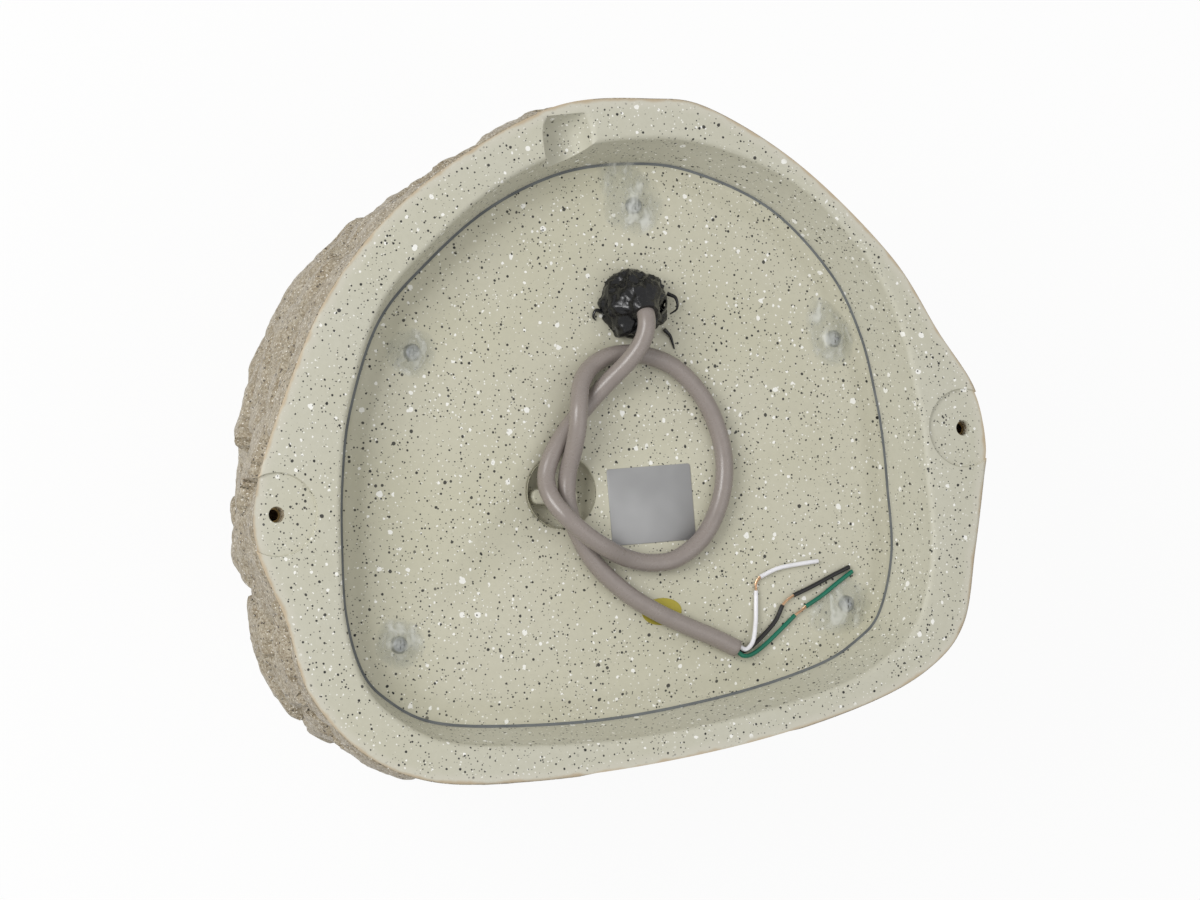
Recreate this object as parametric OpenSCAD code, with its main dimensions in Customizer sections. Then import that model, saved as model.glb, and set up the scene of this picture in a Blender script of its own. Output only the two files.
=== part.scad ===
// Garden loudspeaker in an artificial rock, lying on its crown with the base up.
// All lengths are millimetres. +Z points out of the base, +X to the right and +Y to the back,
// and the origin is on the floor under the middle of the base rim.

/* [Rock housing] */
// Width of the base rim, left to right
base_w = 344; // [320:1:380]
// Depth of the base rim, front to back
base_d = 300; // [280:1:330]
// Height from the base rim to the flattened crown
rock_h = 240; // [228:1:260]
// Height at which the rock would close if its crown were not flat
dome_h = 256; // [250:1:280]
// Wall of the moulded rock
rock_wall = 7; // [5:0.5:10]
// Deepest chip in the rock face
chip_depth = 5; // [0:0.5:6]
// Slope of the rock face beside the rim's edge, as a power of its oval profile
rock_power = 2.1; // [1.9:0.05:2.4]

/* [Base rim and recess] */
// Width of the base panel, left to right
panel_w = 259; // [230:1:262]
// Depth of the base panel, front to back
panel_d = 247; // [220:1:250]
// Depth from the rim down to the panel's edge band
recess_depth = 26; // [20:0.5:30]
// How far the recess wall leans outwards from the panel to the rim
recess_draft = 7; // [4:0.5:9]
// Rounding between the rim and the recess wall
rim_round = 3; // [1:0.5:4]
// Width of the ledge that carries the panel
ledge_w = 22; // [20:0.5:26]
// Thickness of the ledge
ledge_t = 8; // [7:0.5:9]
// Width of the cable notch across the rim
notch_w = 22; // [14:1:28]
// Depth of the cable notch
notch_depth = 13; // [12:0.5:18]
// Distance of the threaded inserts from the rim's outer edge
insert_inset = 10.5; // [9:0.5:13]
// Radius of the shallow flat around each insert
flat_r = 18; // [14:0.5:20]
// Depth of the shallow flat around each insert
flat_depth = 1.5; // [0.5:0.5:2]

/* [Base panel] */
// Thickness of the panel
panel_t = 4; // [3:0.5:5]
// Width of the panel's edge band
band_w = 9.5; // [7:0.5:10]
// Height of the panel's field above its edge band
field_rise = 1.4; // [0.5:0.1:2]
// Gap between the panel's edge and the recess wall, filled by the gasket
edge_gap = 1.8; // [1:0.1:2.5]
// Thickness of the gasket under the panel's edge
gasket_t = 1.5; // [1:0.1:2]
// Radius of the grip pocket
pocket_r = 16; // [13:0.5:18]
// Depth of the grip pocket
pocket_depth = 11; // [8:0.5:13]
// Length of the grip bar in the pocket
grip_len = 20; // [14:0.5:22]
// Width of the grip bar
grip_w = 6.8; // [4:0.2:8]

/* [Fasteners and fits] */
// Inner radius of the threaded inserts, M6
insert_bore_r = 2.5; // [2.4:0.05:2.6]
// Outer radius of the threaded inserts
insert_r = 4.2; // [3.8:0.1:5]
// Length of the threaded inserts
insert_len = 13; // [10:1:14]
// Radius of the plain hole in the rim above each insert
mouth_r = 3.3; // [3.1:0.1:3.7]
// Length of the plain hole above each insert
mouth_len = 6.5; // [4:0.5:8]
// Shank radius of the panel screws
panel_screw_r = 1.9; // [1.5:0.1:2.2]
// Head radius of the panel screws
panel_head_r = 3.8; // [3.4:0.1:4.4]
// Shank radius of the driver screws
driver_screw_r = 1.9; // [1.5:0.1:2.1]
// Clearance around a screw where it passes through a piece
screw_play = 0.3; // [0.2:0.1:0.5]
// Clearance between pieces that drop into each other
fit_play = 0.3; // [0.2:0.1:0.5]

/* [Loudspeaker] */
// Backward tilt of the loudspeaker's face, in degrees
face_tilt = 18; // [15:1:20]
// Distance of the loudspeaker's face from the middle of the base
face_dist = 133; // [129:1:137]
// Height of the loudspeaker's middle below the base rim
face_drop = 123; // [121:1:126]
// Radius of the driver's frame
driver_r = 82.5; // [76:0.5:84]
// Depth of the driver behind its frame
driver_depth = 66; // [60:1:70]
// Depth of the seat that holds the driver and the grille
seat_depth = 16; // [15:0.5:18]
// Thickness of the rock behind the driver's frame
baffle_t = 8; // [6:0.5:10]
// Radius of the driver's magnet
magnet_r = 42; // [36:0.5:46]
// Thickness of the driver's magnet
magnet_t = 15; // [12:0.5:18]
// Thickness of the perforated grille
grille_t = 1.2; // [0.8:0.1:2]
// Distance between the grille's holes
grille_pitch = 9.5; // [9:0.5:14]
// Width of the bars between the grille's holes
grille_bar = 2.4; // [1.8:0.2:3]

/* [Cable and line transformer] */
// Diameter of the cable
cable_d = 8; // [6:0.5:9]
// Diameter of a cable core over its insulation
core_d = 2; // [1.6:0.1:2.6]
// Width of the transformer's core
trafo_w = 57; // [48:1:60]
// Height of the transformer's core
trafo_h = 47; // [40:1:48]
// Stack of the transformer's core
trafo_t = 24; // [18:1:28]
// Radius of the crossover capacitor
cap_r = 8; // [6:0.5:9]
// Length of the crossover capacitor
cap_len = 30; // [24:1:34]

/* [Hidden] */

// Points of the rim's outer edge, seen from below, anticlockwise from the right
rim_pts = [
    [172, 2], [166, 26], [148, 51], [124, 85], [80, 123.5], [36, 147], [7, 150],
    [-35, 145], [-77, 123], [-114, 93], [-142, 56], [-160, 14], [-171, -21], [-172, -49],
    [-159, -80], [-148, -112], [-124, -137], [-94, -149], [-55, -150], [0, -144.5],
    [60, -133], [112, -117], [143, -101], [160, -81], [166, -48], [170.5, -16]
];
// Points of the panel's edge, in the same order
panel_pts = [
    [131, 2], [127.5, 22], [120, 50], [105, 78], [75, 106], [36, 121], [5, 122.5],
    [-26, 116.5], [-58, 100], [-86, 75.5], [-108, 49], [-120.5, 11], [-124, -20],
    [-124, -50], [-122, -78], [-115, -101], [-104, -113], [-84, -122.5], [-50, -124.5],
    [0, -121.5], [55, -111.5], [98, -98.5], [118, -87], [129, -74.5], [135, -48], [133, -18]
];
// Steps around the rock between two points of an outline
steps = 4;
around = len(rim_pts) * steps;
// Rings of rock facets from the rim to the crown
rock_rings = 17;
// Rings of the cavity from the ledge to the crown
cavity_rings = 6;
// Places of the two inserts along the outline, counted in outline points
left_place = 12.5;
right_place = 0.33;
// Bulges of the rock's side: outline place, reach along the outline, extra radius
bulges = [[9.5, 1.8, 9], [12.6, 1.1, -5], [15.2, 1.2, 4]];
// Panel screws, the cable's hole, the grip pocket and the two labels on the panel
screw_places = [[9, 105], [106.5, 48.5], [112.5, -71.75], [-94.5, 36.5], [-100, -90.25]];
cable_hole = [8, 61];
pocket_at = [-25, -23];
label_at = [17.5, -28];
label_size = [40, 34, 0.3];
label_turn = 5;
sticker_at = [22.5, -75.5];
sticker_size = [19, 12, 0.3];
sticker_turn = 5;
// Angle in plan of the rock's front, and of the cable notch from the middle
front_turn = 10.7;
notch_at = [-30, 128];
notch_turn = 8;
notch_len = 60;
// How much larger the cut is than what it cuts
cut = 1;

// Heights above the floor
z_band = rock_h - recess_depth;
z_field = z_band + field_rise;
z_under = z_band - panel_t;
z_ledge = z_under - gasket_t;
z_cavity = z_ledge - ledge_t;

function span(pts, k) = max([for (p = pts) p[k]]) - min([for (p = pts) p[k]]);
function middle(pts, k) = (max([for (p = pts) p[k]]) + min([for (p = pts) p[k]])) / 2;
panel_scale = [panel_w / span(panel_pts, 0), panel_d / span(panel_pts, 1)];

// Point at place u of a closed smooth curve through the points
function wrap(pts, i) = pts[((i % len(pts)) + len(pts)) % len(pts)];
function smooth(pts, u) =
    let (i = floor(u), t = u - i)
    let (a = wrap(pts, i - 1), b = wrap(pts, i), c = wrap(pts, i + 1), d = wrap(pts, i + 2))
    b + t * (c - a) / 2 + t * t * (a - 2.5 * b + 2 * c - d / 2)
      + t * t * t * (1.5 * (b - c) + (d - a) / 2);
function times(p, s) = [p[0] * s[0], p[1] * s[1]];
rim_curve = [for (i = [0:around - 1]) smooth(rim_pts, i / steps)];
rim_scale = [base_w / span(rim_curve, 0), base_d / span(rim_curve, 1)];
rim_mid = [middle(rim_curve, 0), middle(rim_curve, 1)];
function rim_point(u) = times(smooth(rim_pts, u) - rim_mid, rim_scale);
function panel_point(u) = times(smooth(panel_pts, u), panel_scale);
// Unit vector out of the outline at place u
function outward(u) =
    let (d = panel_point(u + 0.2) - panel_point(u - 0.2))
    [d[1], -d[0]] / norm(d);
function panel_out(u, by) = panel_point(u) + by * outward(u);
function place(i) = i / steps;

// Repeatable chip of the rock between 0 and 1 for a point of its face: a broad chip of four
// by two points, and a small one of its own
function rnd(i, j) = let (v = sin(i * 127.1 + j * 311.7) * 43758.5453) v - floor(v);
function chip(i, j) =
    let (row = floor(j / 2), broad = floor(((i + 2 * (row % 2)) % around) / 4))
    0.55 * rnd(broad, row) + 0.45 * rnd(i + 0.5, j);

// Half-width of the rock at depth h below the rim, as a share of the rim's
function profile(h) = pow(max(0, 1 - pow(h / dome_h, rock_power)), 1 / rock_power);
function lap(u, v) =
    let (n = len(rim_pts), d = abs(u - v) % n) min(d, n - d);
function bulge(u, h) =
    sin(180 * h / rock_h)
    * (len(bulges) == 0 ? 0 : bulges_at(u, 0));
function bulges_at(u, k) =
    k == len(bulges) ? 0
    : bulges[k][2] * exp(-pow(lap(u, bulges[k][0]) / bulges[k][1], 2)) + bulges_at(u, k + 1);

// Front face of the rock: outward direction, and the pull of a point back to a plane
face_dir = [
    cos(face_tilt) * sin(front_turn), -cos(face_tilt) * cos(front_turn), -sin(face_tilt)
];
function face_pull(p, h, dist) =
    let (d = [face_dir[0], face_dir[1]] * p - face_dir[2] * h)
    let (flat = [face_dir[0], face_dir[1]] * p)
    d > dist && flat > 0 ? p * (dist + face_dir[2] * h) / flat : p;
face_mid_dist = (face_dist + face_dir[2] * face_drop) / cos(face_tilt);
face_mid = [
    face_mid_dist * sin(front_turn), -face_mid_dist * cos(front_turn), rock_h - face_drop
];

// Point of the rock's face at place u and depth h below the rim, with its chip
function rock_point(u, h, dent) =
    let (p = rim_point(u), r = norm(p))
    let (q = p * (profile(h) + (bulge(u, h) - dent) / r))
    let (f = face_pull(p * (profile(h) + bulge(u, h) / r), h, face_dist))
    norm(f) < norm(q) ? f * (1 - dent / norm(f)) : q;
function rock_ring(j) =
    let (top = asin(rock_h / dome_h), h = dome_h * sin(top * j / rock_rings))
    let (full = (j == 0 || j == rock_rings) ? 0 : min(1, j / 2))
    [for (i = [0:around - 1])
        let (p = rock_point(place(i), min(h, rock_h), full * chip_depth * chip(i, j)))
        [p[0], p[1], rock_h - min(h, rock_h)]];
// Inner face of the rock's wall, which has no chips
function cavity_point(u, h) =
    let (p = rim_point(u), r = norm(p), inset = rock_wall + chip_depth)
    let (q = p * max(0.02, profile(h) + (min(0, bulge(u, h)) - inset) / r))
    face_pull(q, h, face_dist - seat_depth - baffle_t);
function cavity_ring(j) =
    let (h0 = rock_h - z_cavity, h1 = rock_h - rock_wall)
    let (a0 = asin(h0 / dome_h), a1 = asin(h1 / dome_h))
    let (h = dome_h * sin(a0 + (a1 - a0) * j / cavity_rings))
    [for (i = [0:around - 1])
        let (p = cavity_point(place(i), h))
        [p[0], p[1], rock_h - h]];
function flat_ring(by, z) =
    [for (i = [0:around - 1]) let (p = panel_out(place(i), by)) [p[0], p[1], z]];

// Closed solid through a stack of rings with the same number of points: its ends are flat,
// or the last ring joins the first
module rings(stack, closed = false) {
    n = len(stack[0]);
    m = len(stack);
    points = [for (ring = stack) for (p = ring) p];
    sides = [for (j = [0:(closed ? m - 1 : m - 2)]) for (i = [0:n - 1]) for (s = [0, 1])
        let (next = ((j + 1) % m) * n, a = j * n + i, b = j * n + (i + 1) % n)
        s == 0 ? [a, next + i, b] : [b, next + i, next + (i + 1) % n]];
    caps = closed ? [] : [
        [for (i = [0:n - 1]) i], [for (i = [n - 1:-1:0]) (m - 1) * n + i]
    ];
    polyhedron(points, concat(sides, caps), convexity = 10);
}

// Tube of a given radius swept along a route, with flat ends square to it
function unit(v) = v / norm(v);
function heading(path, i) =
    let (a = path[max(0, i - 1)], b = path[min(len(path) - 1, i + 1)]) unit(b - a);
function side_of(d) = unit(cross(d, abs(d[2]) > 0.9 ? [0, 1, 0] : [0, 0, 1]));
function carried(path, i) =
    i == 0 ? side_of(heading(path, 0))
    : let (d = heading(path, i), s = carried(path, i - 1)) unit(s - d * (s * d));
module tube(path, r, sides) {
    stack = [for (i = [0:len(path) - 1])
        let (d = heading(path, i), s = carried(path, i), t = cross(d, s))
        [for (k = [0:sides - 1])
            path[i] + r * (cos(360 * k / sides) * s + sin(360 * k / sides) * t)]];
    rings([for (i = [len(stack) - 1:-1:0]) stack[i]]);
}
// Points at even steps along a smooth open curve through a route's points
function open_at(pts, u) =
    let (n = len(pts), i = min(floor(u), n - 2), t = u - i)
    let (b = pts[i], c = pts[i + 1])
    let (a = i > 0 ? pts[i - 1] : 2 * b - c, d = i + 2 < n ? pts[i + 2] : 2 * c - b)
    b + t * (c - a) / 2 + t * t * (a - 2.5 * b + 2 * c - d / 2)
      + t * t * t * (1.5 * (b - c) + (d - a) / 2);
function route(pts, per) =
    [for (k = [0:(len(pts) - 1) * per]) open_at(pts, k / per)];

// Route of the free cable over the panel, from the seal to the cut end of its jacket
cable_h = cable_d / 2 + 0.3;
cable_route = [
    [8, 61, 0], [8, 61, 2.5], [8, 61, 5], [8, 58.5, 10.5], [8, 53.5, 14], [7.5, 47.5, 14.5],
    [5.5, 41, 12.5], [1, 34, 9.5], [-6, 25.5, 4], [-14, 16, 0.5], [-23.5, 5, 0],
    [-31, -7, 0], [-34, -17, 0.5], [-33, -26, 4.5], [-27, -35, 9], [-18, -42.5, 9.5],
    [-8, -48, 7.5], [3, -52, 2.5], [15, -54, 0], [28, -52, 0], [41, -42, 0],
    [49, -26, 0], [51, -9, 0], [47, 8, 0], [39, 22, 0], [27, 33, 0], [13, 38, 0],
    [-1, 38, 0], [-12, 33, 1], [-19, 25, 5], [-22, 14, 9.5], [-22.5, 4, 9],
    [-23, -5, 5.5], [-24, -15, 1], [-24, -26, 0], [-21, -37, 0], [-12, -53, 0],
    [2, -66, 0], [17, -75, 0], [33, -82, 0], [46, -87, 0], [57, -92, 0]
];
function above_field(pts, lift) = [for (p = pts) [p[0], p[1], z_field + lift + p[2]]];
// The same route with both ends drawn in a little
function drawn_in(pts, by) =
    let (n = len(pts) - 1)
    [for (i = [0:n])
        i == 0 ? pts[0] + by * unit(pts[1] - pts[0])
        : i == n ? pts[n] - by * unit(pts[n] - pts[n - 1]) : pts[i]];

// Routes of the three cores beyond the jacket: insulation, bare copper, pulled-off end
core_lift = core_d / 2 + 0.3;
strand_r = core_d * 0.3;
strand_gap = 0.2;
white_route = [
    [57.7, -91, 3.9], [61.2, -92.2, 3.6], [65, -88.5, 2.5], [67, -80, 0.8], [67.5, -72, 0],
    [67.5, -66, 0]
];
white_bare = [[67.5, -66, 0], [67.6, -62.5, 0], [69.6, -59.8, 0]];
white_end = [[69.6, -59.8, 0], [78, -56, 0], [88, -54, 0], [98, -52.5, 0]];
black_route = [
    [57.2, -92.1, 1.7], [60.6, -93.2, 1.2], [65, -91, 0.6], [71, -86, 0], [77, -79.5, 0],
    [80.5, -72.5, 0]
];
black_bare = [[80.5, -72.5, 0], [83, -70, 0], [86, -68, 0]];
black_end = [[86, -68, 0], [95, -64, 0], [105, -59, 0], [113.5, -55, 0]];
green_route = [
    [56.8, -93.3, 3.9], [60.3, -95.2, 3.2], [65.5, -94.2, 1.5], [72, -90, 0.3],
    [79.5, -83.5, 0], [86.5, -77, 0]
];
green_bare = [[86.5, -77, 0], [89.5, -75, 0], [92, -73, 0]];
green_end = [[92, -73, 0], [100, -68, 0], [108, -62, 0], [115, -57, 0]];

// Repeated placements
module at_face() {
    translate(face_mid) rotate([0, 0, front_turn]) rotate([90 + face_tilt, 0, 0]) children();
}
// Place in the whole part of a point given in the face's frame
function from_face(p) =
    let (a = 90 + face_tilt, y = p[1] * cos(a) - p[2] * sin(a), z = p[1] * sin(a) + p[2] * cos(a))
    face_mid + [
        p[0] * cos(front_turn) - y * sin(front_turn), p[0] * sin(front_turn) + y * cos(front_turn), z
    ];
function hole_at(u) =
    let (p = rim_point(u), d = rim_point(u + 0.2) - rim_point(u - 0.2))
    p - insert_inset * [d[1], -d[0]] / norm(d);
module at_insert(u) {
    p = hole_at(u);
    translate([p[0], p[1], rock_h]) children();
}
module at_each(places, z) {
    for (p = places) translate([p[0], p[1], z]) children();
}

// Moulded rock with its rim, recess, ledge and front seat
screw_bite = ledge_t - 1.5;
insert_top = flat_depth + mouth_len;
seat_r = driver_r + 6;
driver_hole_r = driver_r - 9;
driver_screw_pcr = driver_r - 4.7;
screw_angles = [for (k = [0:5]) k * 60 + 30];
module rock_body() {
    outer = [for (j = [rock_rings:-1:0]) rock_ring(j)];
    mouth = recess_draft + edge_gap;
    recess = [
        flat_ring(mouth + rim_round, rock_h),
        flat_ring(mouth + rim_round * 0.3, rock_h - rim_round * 0.3),
        flat_ring(mouth, rock_h - rim_round),
        flat_ring(edge_gap, z_band), flat_ring(edge_gap, z_ledge),
        flat_ring(-ledge_w, z_ledge), flat_ring(-ledge_w, z_cavity)
    ];
    cavity = [for (j = [0:cavity_rings]) cavity_ring(j)];
    rings(concat(outer, recess, cavity));
}
module cable_notch() {
    r = notch_w / 2;
    translate([notch_at[0], notch_at[1], rock_h - notch_depth + r]) rotate([0, 0, notch_turn]) {
        rotate([90, 0, 0]) cylinder(r = r, h = notch_len, center = true, $fn = 48);
        translate([-r, -notch_len / 2, 0]) cube([notch_w, notch_len, notch_depth - r + cut]);
    }
}
module rock_shell() {
    color([0.72, 0.68, 0.59]) difference() {
        rock_body();
        cable_notch();
        for (u = [left_place, right_place]) at_insert(u) {
            translate([0, 0, -flat_depth]) cylinder(r = flat_r, h = flat_depth + cut, $fn = 64);
            translate([0, 0, -insert_top - 0.01])
                cylinder(r = mouth_r, h = insert_top + cut, $fn = 32);
            translate([0, 0, -insert_top - insert_len])
                cylinder(r = insert_r, h = insert_len, $fn = 32);
        }
        at_each(screw_places, z_ledge - screw_bite)
            cylinder(r = panel_screw_r, h = screw_bite + cut, $fn = 24);
        at_face() {
            translate([0, 0, -seat_depth]) cylinder(r = seat_r, h = seat_depth + 30, $fn = 96);
            translate([0, 0, -seat_depth - baffle_t - 4])
                cylinder(r = driver_hole_r, h = baffle_t + 6, $fn = 96);
            for (a = screw_angles) rotate([0, 0, a])
                translate([driver_screw_pcr, 0, -seat_depth - baffle_t + 2])
                    cylinder(r = driver_screw_r, h = baffle_t, $fn = 24);
        }
    }
}

// Base panel with its raised field, grip pocket, cable hole and inner posts
field_in = band_w + 2.5;
post_r = 5;
post_h = 8;
trafo_at = [-38, 30];
trafo_post = trafo_w / 2 + 9;
board_at = [48, 48];
board_size = [44, 34, 1.6];
board_post = 17;
inner_posts = [
    trafo_at - [trafo_post, 0], trafo_at + [trafo_post, 0],
    board_at - [board_post, 0], board_at + [board_post, 0]
];
pilot_r = 1.4;
pilot_depth = 7;
module base_panel() {
    color([0.76, 0.745, 0.67]) {
        difference() {
            union() {
                rings([
                    flat_ring(0, z_under), flat_ring(0, z_band),
                    flat_ring(-band_w, z_band), flat_ring(-field_in, z_field)
                ]);
                translate([pocket_at[0], pocket_at[1], z_field - pocket_depth - panel_t])
                    cylinder(r = pocket_r + 3, h = pocket_depth + panel_t - 1, $fn = 64);
                at_each(inner_posts, z_under - post_h)
                    cylinder(r = post_r, h = post_h + 1, $fn = 32);
            }
            grip_pocket();
            translate([cable_hole[0], cable_hole[1], z_under - cut])
                cylinder(r = cable_d / 2 + fit_play, h = panel_t + field_rise + 2 * cut, $fn = 32);
            at_each(screw_places, z_under - cut)
                cylinder(r = panel_screw_r + screw_play, h = panel_t + 3 * cut, $fn = 24);
            at_each(inner_posts, z_under - post_h - cut)
                cylinder(r = pilot_r, h = pilot_depth + cut, $fn = 24);
        }
    }
}
// The pocket is a shallow dish; a bar with round ends stands on its floor
module grip_pocket() {
    translate([pocket_at[0], pocket_at[1], z_field]) difference() {
        rotate_extrude($fn = 64) polygon(concat(
            [[0, cut], [0, -pocket_depth]],
            [for (a = [0:10:90]) [
                pocket_r - 9 + 9 * sin(a), -pocket_depth + 9 * (1 - cos(a))]],
            [[pocket_r, cut]]
        ));
        for (x = [-1, 1]) translate([x * (grip_len - grip_w) / 2 - 1, -0.5, -pocket_depth - cut])
            cylinder(r = grip_w / 2, h = pocket_depth + cut - 1.5, $fn = 32);
        translate([-(grip_len - grip_w) / 2 - 1, -0.5 - grip_w / 2, -pocket_depth - cut])
            cube([grip_len - grip_w, grip_w, pocket_depth + cut - 1.5]);
    }
}

// Gasket under the panel's edge and up the gap beside it
module panel_gasket() {
    color([0.33, 0.34, 0.35]) difference() {
        translate([0, 0, z_ledge]) linear_extrude(gasket_t + panel_t - 0.4)
            polygon([for (p = flat_ring(edge_gap, 0)) [p[0], p[1]]]);
        translate([0, 0, z_ledge - cut]) linear_extrude(gasket_t + cut + 0.01)
            polygon([for (p = flat_ring(-6, 0)) [p[0], p[1]]]);
        translate([0, 0, z_under]) linear_extrude(panel_t + cut)
            polygon([for (p = flat_ring(0, 0)) [p[0], p[1]]]);
    }
}

// One self-tapping screw with a low round head and a cross slot, head up at z = 0
module screw(r, head_r, length) {
    difference() {
        union() {
            translate([0, 0, -length]) cylinder(r = r, h = length, $fn = 24);
            rotate_extrude($fn = 32) polygon([
                [0, 0], [head_r, 0], [head_r, 0.6], [head_r * 0.8, 1.7],
                [head_r * 0.45, 2.2], [0, 2.3]
            ]);
        }
        for (a = [0, 90]) rotate([0, 0, a])
            translate([-head_r * 0.55, -0.5, 1.1]) cube([head_r * 1.1, 1, 2]);
    }
}
module panel_screws() {
    color([0.55, 0.56, 0.58]) at_each(screw_places, z_field)
        screw(panel_screw_r, panel_head_r, z_field - z_ledge + screw_bite - 1);
}

// Collars of clear sealant around the screw heads
module screw_sealant() {
    color([0.84, 0.85, 0.8]) at_each(screw_places, z_field) sealant_ring();
}
module sealant_ring() {
    inner = panel_head_r + 0.1;
    rotate_extrude($fn = 40) polygon([
        [inner, 0.05], [inner + 6, 0.05], [inner + 5, 1], [inner + 2, 1.8], [inner, 1.9]
    ]);
}

// Threaded inserts moulded into the rim
module insert(u) {
    color([0.72, 0.6, 0.36]) at_insert(u) translate([0, 0, -insert_top - insert_len])
        difference() {
            cylinder(r = insert_r, h = insert_len, $fn = 32);
            translate([0, 0, -cut]) cylinder(r = insert_bore_r, h = insert_len + 2 * cut, $fn = 32);
        }
}
module insert_left() { insert(left_place); }
module insert_right() { insert(right_place); }

// Lump of black sealing putty around the cable's exit
seal_rings = 7;
seal_sides = 24;
seal_h = 13;
seal_r = 15.5;
seal_lip = 6.8;
seal_lip_at = 3.6;
seal_route = above_field(cable_route, cable_h);
// Circle square to the cable at a place of its route, the first point to the right
function collar(at, r) =
    let (c = open_at(seal_route, at), d = unit(open_at(seal_route, at + 0.1) - c))
    let (x = unit(cross([0, 1, 0], d)), y = cross(d, x))
    [for (i = [0:seal_sides - 1])
        c + r * (cos(360 * i / seal_sides) * x + sin(360 * i / seal_sides) * y)];
function seal_foot(r, ragged) =
    [for (i = [0:seal_sides - 1])
        let (w = 1 + ragged * (rnd(i + 7, 3) - 0.5), c = 360 * i / seal_sides)
        [cable_hole[0] + r * w * cos(c), cable_hole[1] + r * w * sin(c), z_field + 0.05]];
// Rings of the lump's outside, bulging from its ragged foot up to the lip around the cable
function seal_side(k) =
    let (t = k / seal_rings, foot = seal_foot(seal_r, 0.36), lip = collar(seal_lip_at, seal_lip))
    [for (i = [0:seal_sides - 1])
        let (knob = foot[i] + [0, 0, seal_h * (0.75 + 0.35 * rnd(i * 3, 5))])
        (1 - t) * (1 - t) * foot[i] + 2 * t * (1 - t) * knob + t * t * lip[i]];
module cable_seal() {
    bore = cable_d / 2 + fit_play;
    color([0.1, 0.1, 0.11]) rings(concat(
        [for (k = [0:seal_rings]) seal_side(k)],
        [for (at = [seal_lip_at:-0.5:0.1]) collar(at, bore)],
        [seal_foot(bore, 0)]
    ), closed = true);
}

module cable() {
    color([0.57, 0.54, 0.52]) tube(route(above_field(cable_route, cable_h), 2), cable_d / 2, 10);
}
module core(insulation, end) {
    tube(route(above_field(insulation, core_lift), 2), core_d / 2, 8);
    tube(route(above_field(end, core_lift), 2), core_d / 2, 8);
}
module white_core() { color([0.93, 0.93, 0.92]) core(white_route, white_end); }
module black_core() { color([0.06, 0.06, 0.06]) core(black_route, black_end); }
module green_core() { color([0.02, 0.38, 0.28]) core(green_route, green_end); }
module bare_strands() {
    color([0.8, 0.5, 0.32]) for (bare = [white_bare, black_bare, green_bare])
        tube(route(above_field(drawn_in(bare, strand_gap), core_lift), 2), strand_r, 8);
}

// Blank labels on the panel
module rating_label() {
    color([0.63, 0.63, 0.64]) translate([label_at[0], label_at[1], z_field + 0.02])
        rotate([0, 0, label_turn]) translate([-label_size[0] / 2, -label_size[1] / 2, 0])
            cube(label_size);
}
module inspection_sticker() {
    color([0.62, 0.56, 0.12]) translate([sticker_at[0], sticker_at[1], z_field + 0.02])
        rotate([0, 0, sticker_turn]) linear_extrude(sticker_size[2])
            scale([sticker_size[0] / sticker_size[1], 1]) circle(r = sticker_size[1] / 2, $fn = 48);
}

// Grille: a ring on the seat's floor, a cloth and a perforated disc on its lip
ring_in = driver_r + 1;
lip_in = driver_r - 2;
lip_top = -4;
lip_t = 1.6;
cloth_t = 0.6;
module grille_ring() {
    color([0.2, 0.2, 0.2]) at_face() rotate_extrude($fn = 96) polygon([
        [ring_in, -seat_depth], [seat_r - fit_play, -seat_depth], [seat_r - fit_play, -0.5],
        [seat_r - 2, 0], [ring_in, 0], [ring_in, lip_top], [lip_in, lip_top],
        [lip_in, lip_top - lip_t], [ring_in, lip_top - lip_t]
    ]);
}
module grille_cloth() {
    color([0.08, 0.08, 0.08]) at_face() translate([0, 0, lip_top])
        cylinder(r = ring_in - fit_play, h = cloth_t, $fn = 96);
}
module speaker_grille() {
    reach = ring_in - 7;
    rows = ceil(reach / (grille_pitch * sin(60)));
    columns = ceil(reach / grille_pitch) + 1;
    color([0.3, 0.29, 0.27]) at_face() translate([0, 0, lip_top + cloth_t])
        linear_extrude(grille_t) difference() {
            circle(r = ring_in - fit_play, $fn = 96);
            for (j = [-rows:rows]) for (i = [-columns:columns]) {
                x = (i + (j % 2 == 0 ? 0 : 0.5)) * grille_pitch;
                y = j * grille_pitch * sin(60);
                if (norm([x, y]) < reach) translate([x, y])
                    rotate(30) circle(r = (grille_pitch - grille_bar) / 2 / cos(30), $fn = 6);
            }
        }
}

// Loudspeaker driver, in the seat's own frame with z out of the rock's face
gasket_h = 1.5;
flange_t = 3;
z_flange = -seat_depth + gasket_h;
z_flange_top = z_flange + flange_t;
z_back = z_flange - driver_depth;
back_t = 6;
plate_t = 6;
z_magnet = z_back + back_t;
z_plate = z_magnet + magnet_t;
z_gap_top = z_plate + plate_t;
pole_r = 12.3;
coil_r = 13;
gap_r = 14.2;
surround_out = driver_r - 8;
surround_in = driver_r - 21;
spider_z = z_gap_top + 11;
spider_out = 38;
basket_low_r = magnet_r - 4;
module driver_gasket() {
    color([0.15, 0.15, 0.15]) at_face() translate([0, 0, -seat_depth]) difference() {
        cylinder(r = driver_r, h = gasket_h, $fn = 96);
        translate([0, 0, -cut]) cylinder(r = driver_hole_r + 0.5, h = gasket_h + 2 * cut, $fn = 96);
        for (a = screw_angles) rotate([0, 0, a]) translate([driver_screw_pcr, 0, -cut])
            cylinder(r = driver_screw_r + screw_play, h = gasket_h + 2 * cut, $fn = 24);
    }
}
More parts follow.
